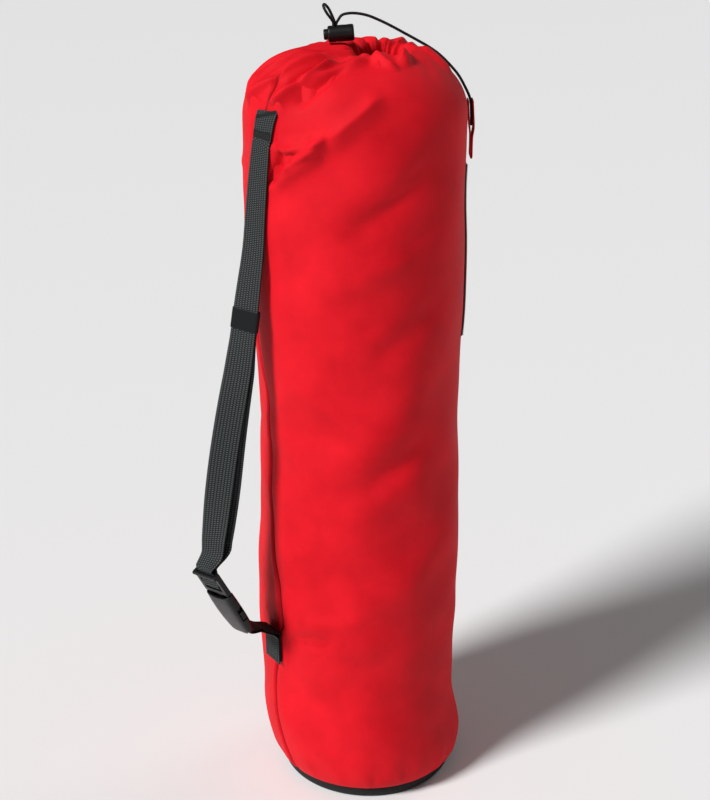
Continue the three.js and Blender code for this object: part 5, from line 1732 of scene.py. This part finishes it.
def in_lock(x, y, z):
    return lock_space @ Vector((x, y, z))


def hole_run(turn):
    """A cord's way up through the lock, at this angle in its hole."""
    x = cord_hole + cord_ring * math.cos(math.radians(turn))
    y = cord_ring * math.sin(math.radians(turn))
    return [in_lock(x, y, -lock_radius + 0.0004), in_lock(x, y, 0), in_lock(x, y, lock_radius + 0.0012)]


# %% The loop over the lock
# up, right, apart
loop_rise = [(0.0026, -0.0006, 0.0032), (0.006, -0.0022, 0.0062), (0.0096, -0.0044, 0.0094),
             (0.0128, -0.0062, 0.0104), (0.0154, -0.0078, 0.008), (0.0168, -0.0086, 0.0036)]


def loop_points():
    """Up one side of the loop, over, and down the other."""
    top = in_lock(cord_hole, 0, lock_radius)
    spin = Matrix.Rotation(math.radians(front_turn), 3, "Z") @ Vector((0.26, 0.97, 0))

    def side(sign):
        return [top + front_point(right, 0, up) + spin * sign * apart / 2 for up, right, apart in loop_rise]

    return hole_run(240) + side(-1) + side(1)[::-1] + hole_run(120)[::-1]


loop_piece, loop_path = braided_cord("braided_loop", loop_points())
finish_piece(loop_piece, braid, "cord_braid", "draw_loop")

# %% The long cord
# right, away and up, as seen from the bag's front
cord_run = [(-0.0169, 0.0004, 0.7186), (-0.014, 0.0012, 0.7222), (-0.0086, 0.002, 0.7236),
            (-0.001, 0.0032, 0.7234), (0.008, 0.0046, 0.7214), (0.018, 0.0062, 0.7172),
            (0.028, 0.0078, 0.7122), (0.0385, 0.0094, 0.7064), (0.049, 0.011, 0.7006),
            (0.059, 0.0122, 0.6948), (0.068, 0.0126, 0.6886), (0.077, 0.012, 0.6802),
            (0.0848, 0.0108, 0.6714), (0.0906, 0.0092, 0.6618), (0.0953, 0.0076, 0.6514),
            (0.0965, 0.0068, 0.64), (0.0969, 0.0064, 0.629)]
cord_piece, cord_path = braided_cord("braided_cord", hole_run(0) + [front_point(*p) for p in cord_run])
finish_piece(cord_piece, braid, "cord_braid", "draw_cord")

# %% [markdown]
# ## The pull tab
#
# The tab is a strip of the bag's own cloth, folded double round the cord's end and stitched across. Seen
# edge-on, its two layers part round the cord, close below it, and swell once more where the fold is. Its
# copy of the cloth is painted darker than the bag's, as painted shade.

# %% Pull tab
tab_wide, tab_long, tab_wall, tab_grip = 0.018, 0.049, 0.0011, 0.022
# down (share of tab_long), off (half the distance between the two layers)
tab_path = [(0, 0.0020), (0.22, 0.0020), (0.46, 0.0018), (0.62, 0.0008), (0.8, 0.00064), (0.93, 0.00066),
            (0.985, 0.00058), (1, 0)]
tab_end = cord_run[-1]


def tab_station(down, off):
    """A station of the tab: how far down it is, and how far to one side of its middle."""
    lean = tab_end[0] - max(tab_grip - tab_long * down, 0) * 0.0714
    return front_point(lean + off, tab_end[1], tab_end[2] + tab_grip - tab_long * down), front_point(0, 1, 0)


tab_stations = [tab_station(down, -off) for down, off in tab_path]
tab_stations += [tab_station(down, off) for down, off in reversed(tab_path[:-1])]
# painted shade: the tab wears the darker copy of the red cloth
tab_piece = finish_piece(flat_strip("folded_tab", tab_stations, tab_wide, tab_wall, 0.0007, 21),
                         tab_cloth, "tab_cloth", "pull_tab")

# %% [markdown]
# ## Floor and light
#
# The photograph has a plain white ground, one soft light high in front of the bag on its left, and a
# faint edge of light on the far right. Two distant lamps, the weaker one behind the bag, and a dim white
# sky give the same. Near lamps would do too, but their light falls off along a bag this tall.


# %% Floor and lights
def soft_sun(name, direction, strength, spread):
    """A distant lamp that shines along a direction, as soft as its spread in degrees."""
    lamp = bpy.data.lights.new(name, "SUN")
    lamp.energy, lamp.angle = strength, math.radians(spread)
    holder = bpy.data.objects.new(name, lamp)
    scene.collection.objects.link(holder)
    holder.rotation_euler = direction.to_track_quat("-Z", "Y").to_euler()
    return holder


floor_mesh = bpy.data.meshes.new("studio_floor")
reach = 30.0
floor_mesh.from_pydata([(-reach, -reach, 0), (reach, -reach, 0), (reach, reach, 0), (-reach, reach, 0)], [],
                       [(0, 1, 2, 3)])
floor = bpy.data.objects.new("studio_floor", floor_mesh)
scene.collection.objects.link(floor)
floor_paint = bpy.data.materials.new("pale_floor")
floor_paint.use_nodes = True
floor_shader = floor_paint.node_tree.nodes["Principled BSDF"]
floor_shader.inputs["Base Color"].default_value = (0.85, 0.85, 0.85, 1)
floor_shader.inputs["Roughness"].default_value = 0.6
floor_mesh.materials.append(floor_paint)
key = soft_sun("key_sun", front_point(0.74, 0.56, -0.78), 3.9, 14)
rim = soft_sun("rim_sun", front_point(-0.9, -0.75, -0.6), 0.4, 30)

world = scene.world or bpy.data.worlds.new("studio")
scene.world = world
world.use_nodes = True
sky = world.node_tree.nodes["Background"]
sky.inputs["Color"].default_value = (1.0, 1.0, 1.0, 1.0)
sky.inputs["Strength"].default_value = 0.13
scene.view_settings.view_transform = "Standard"
print("lights:", key.name, rim.name)
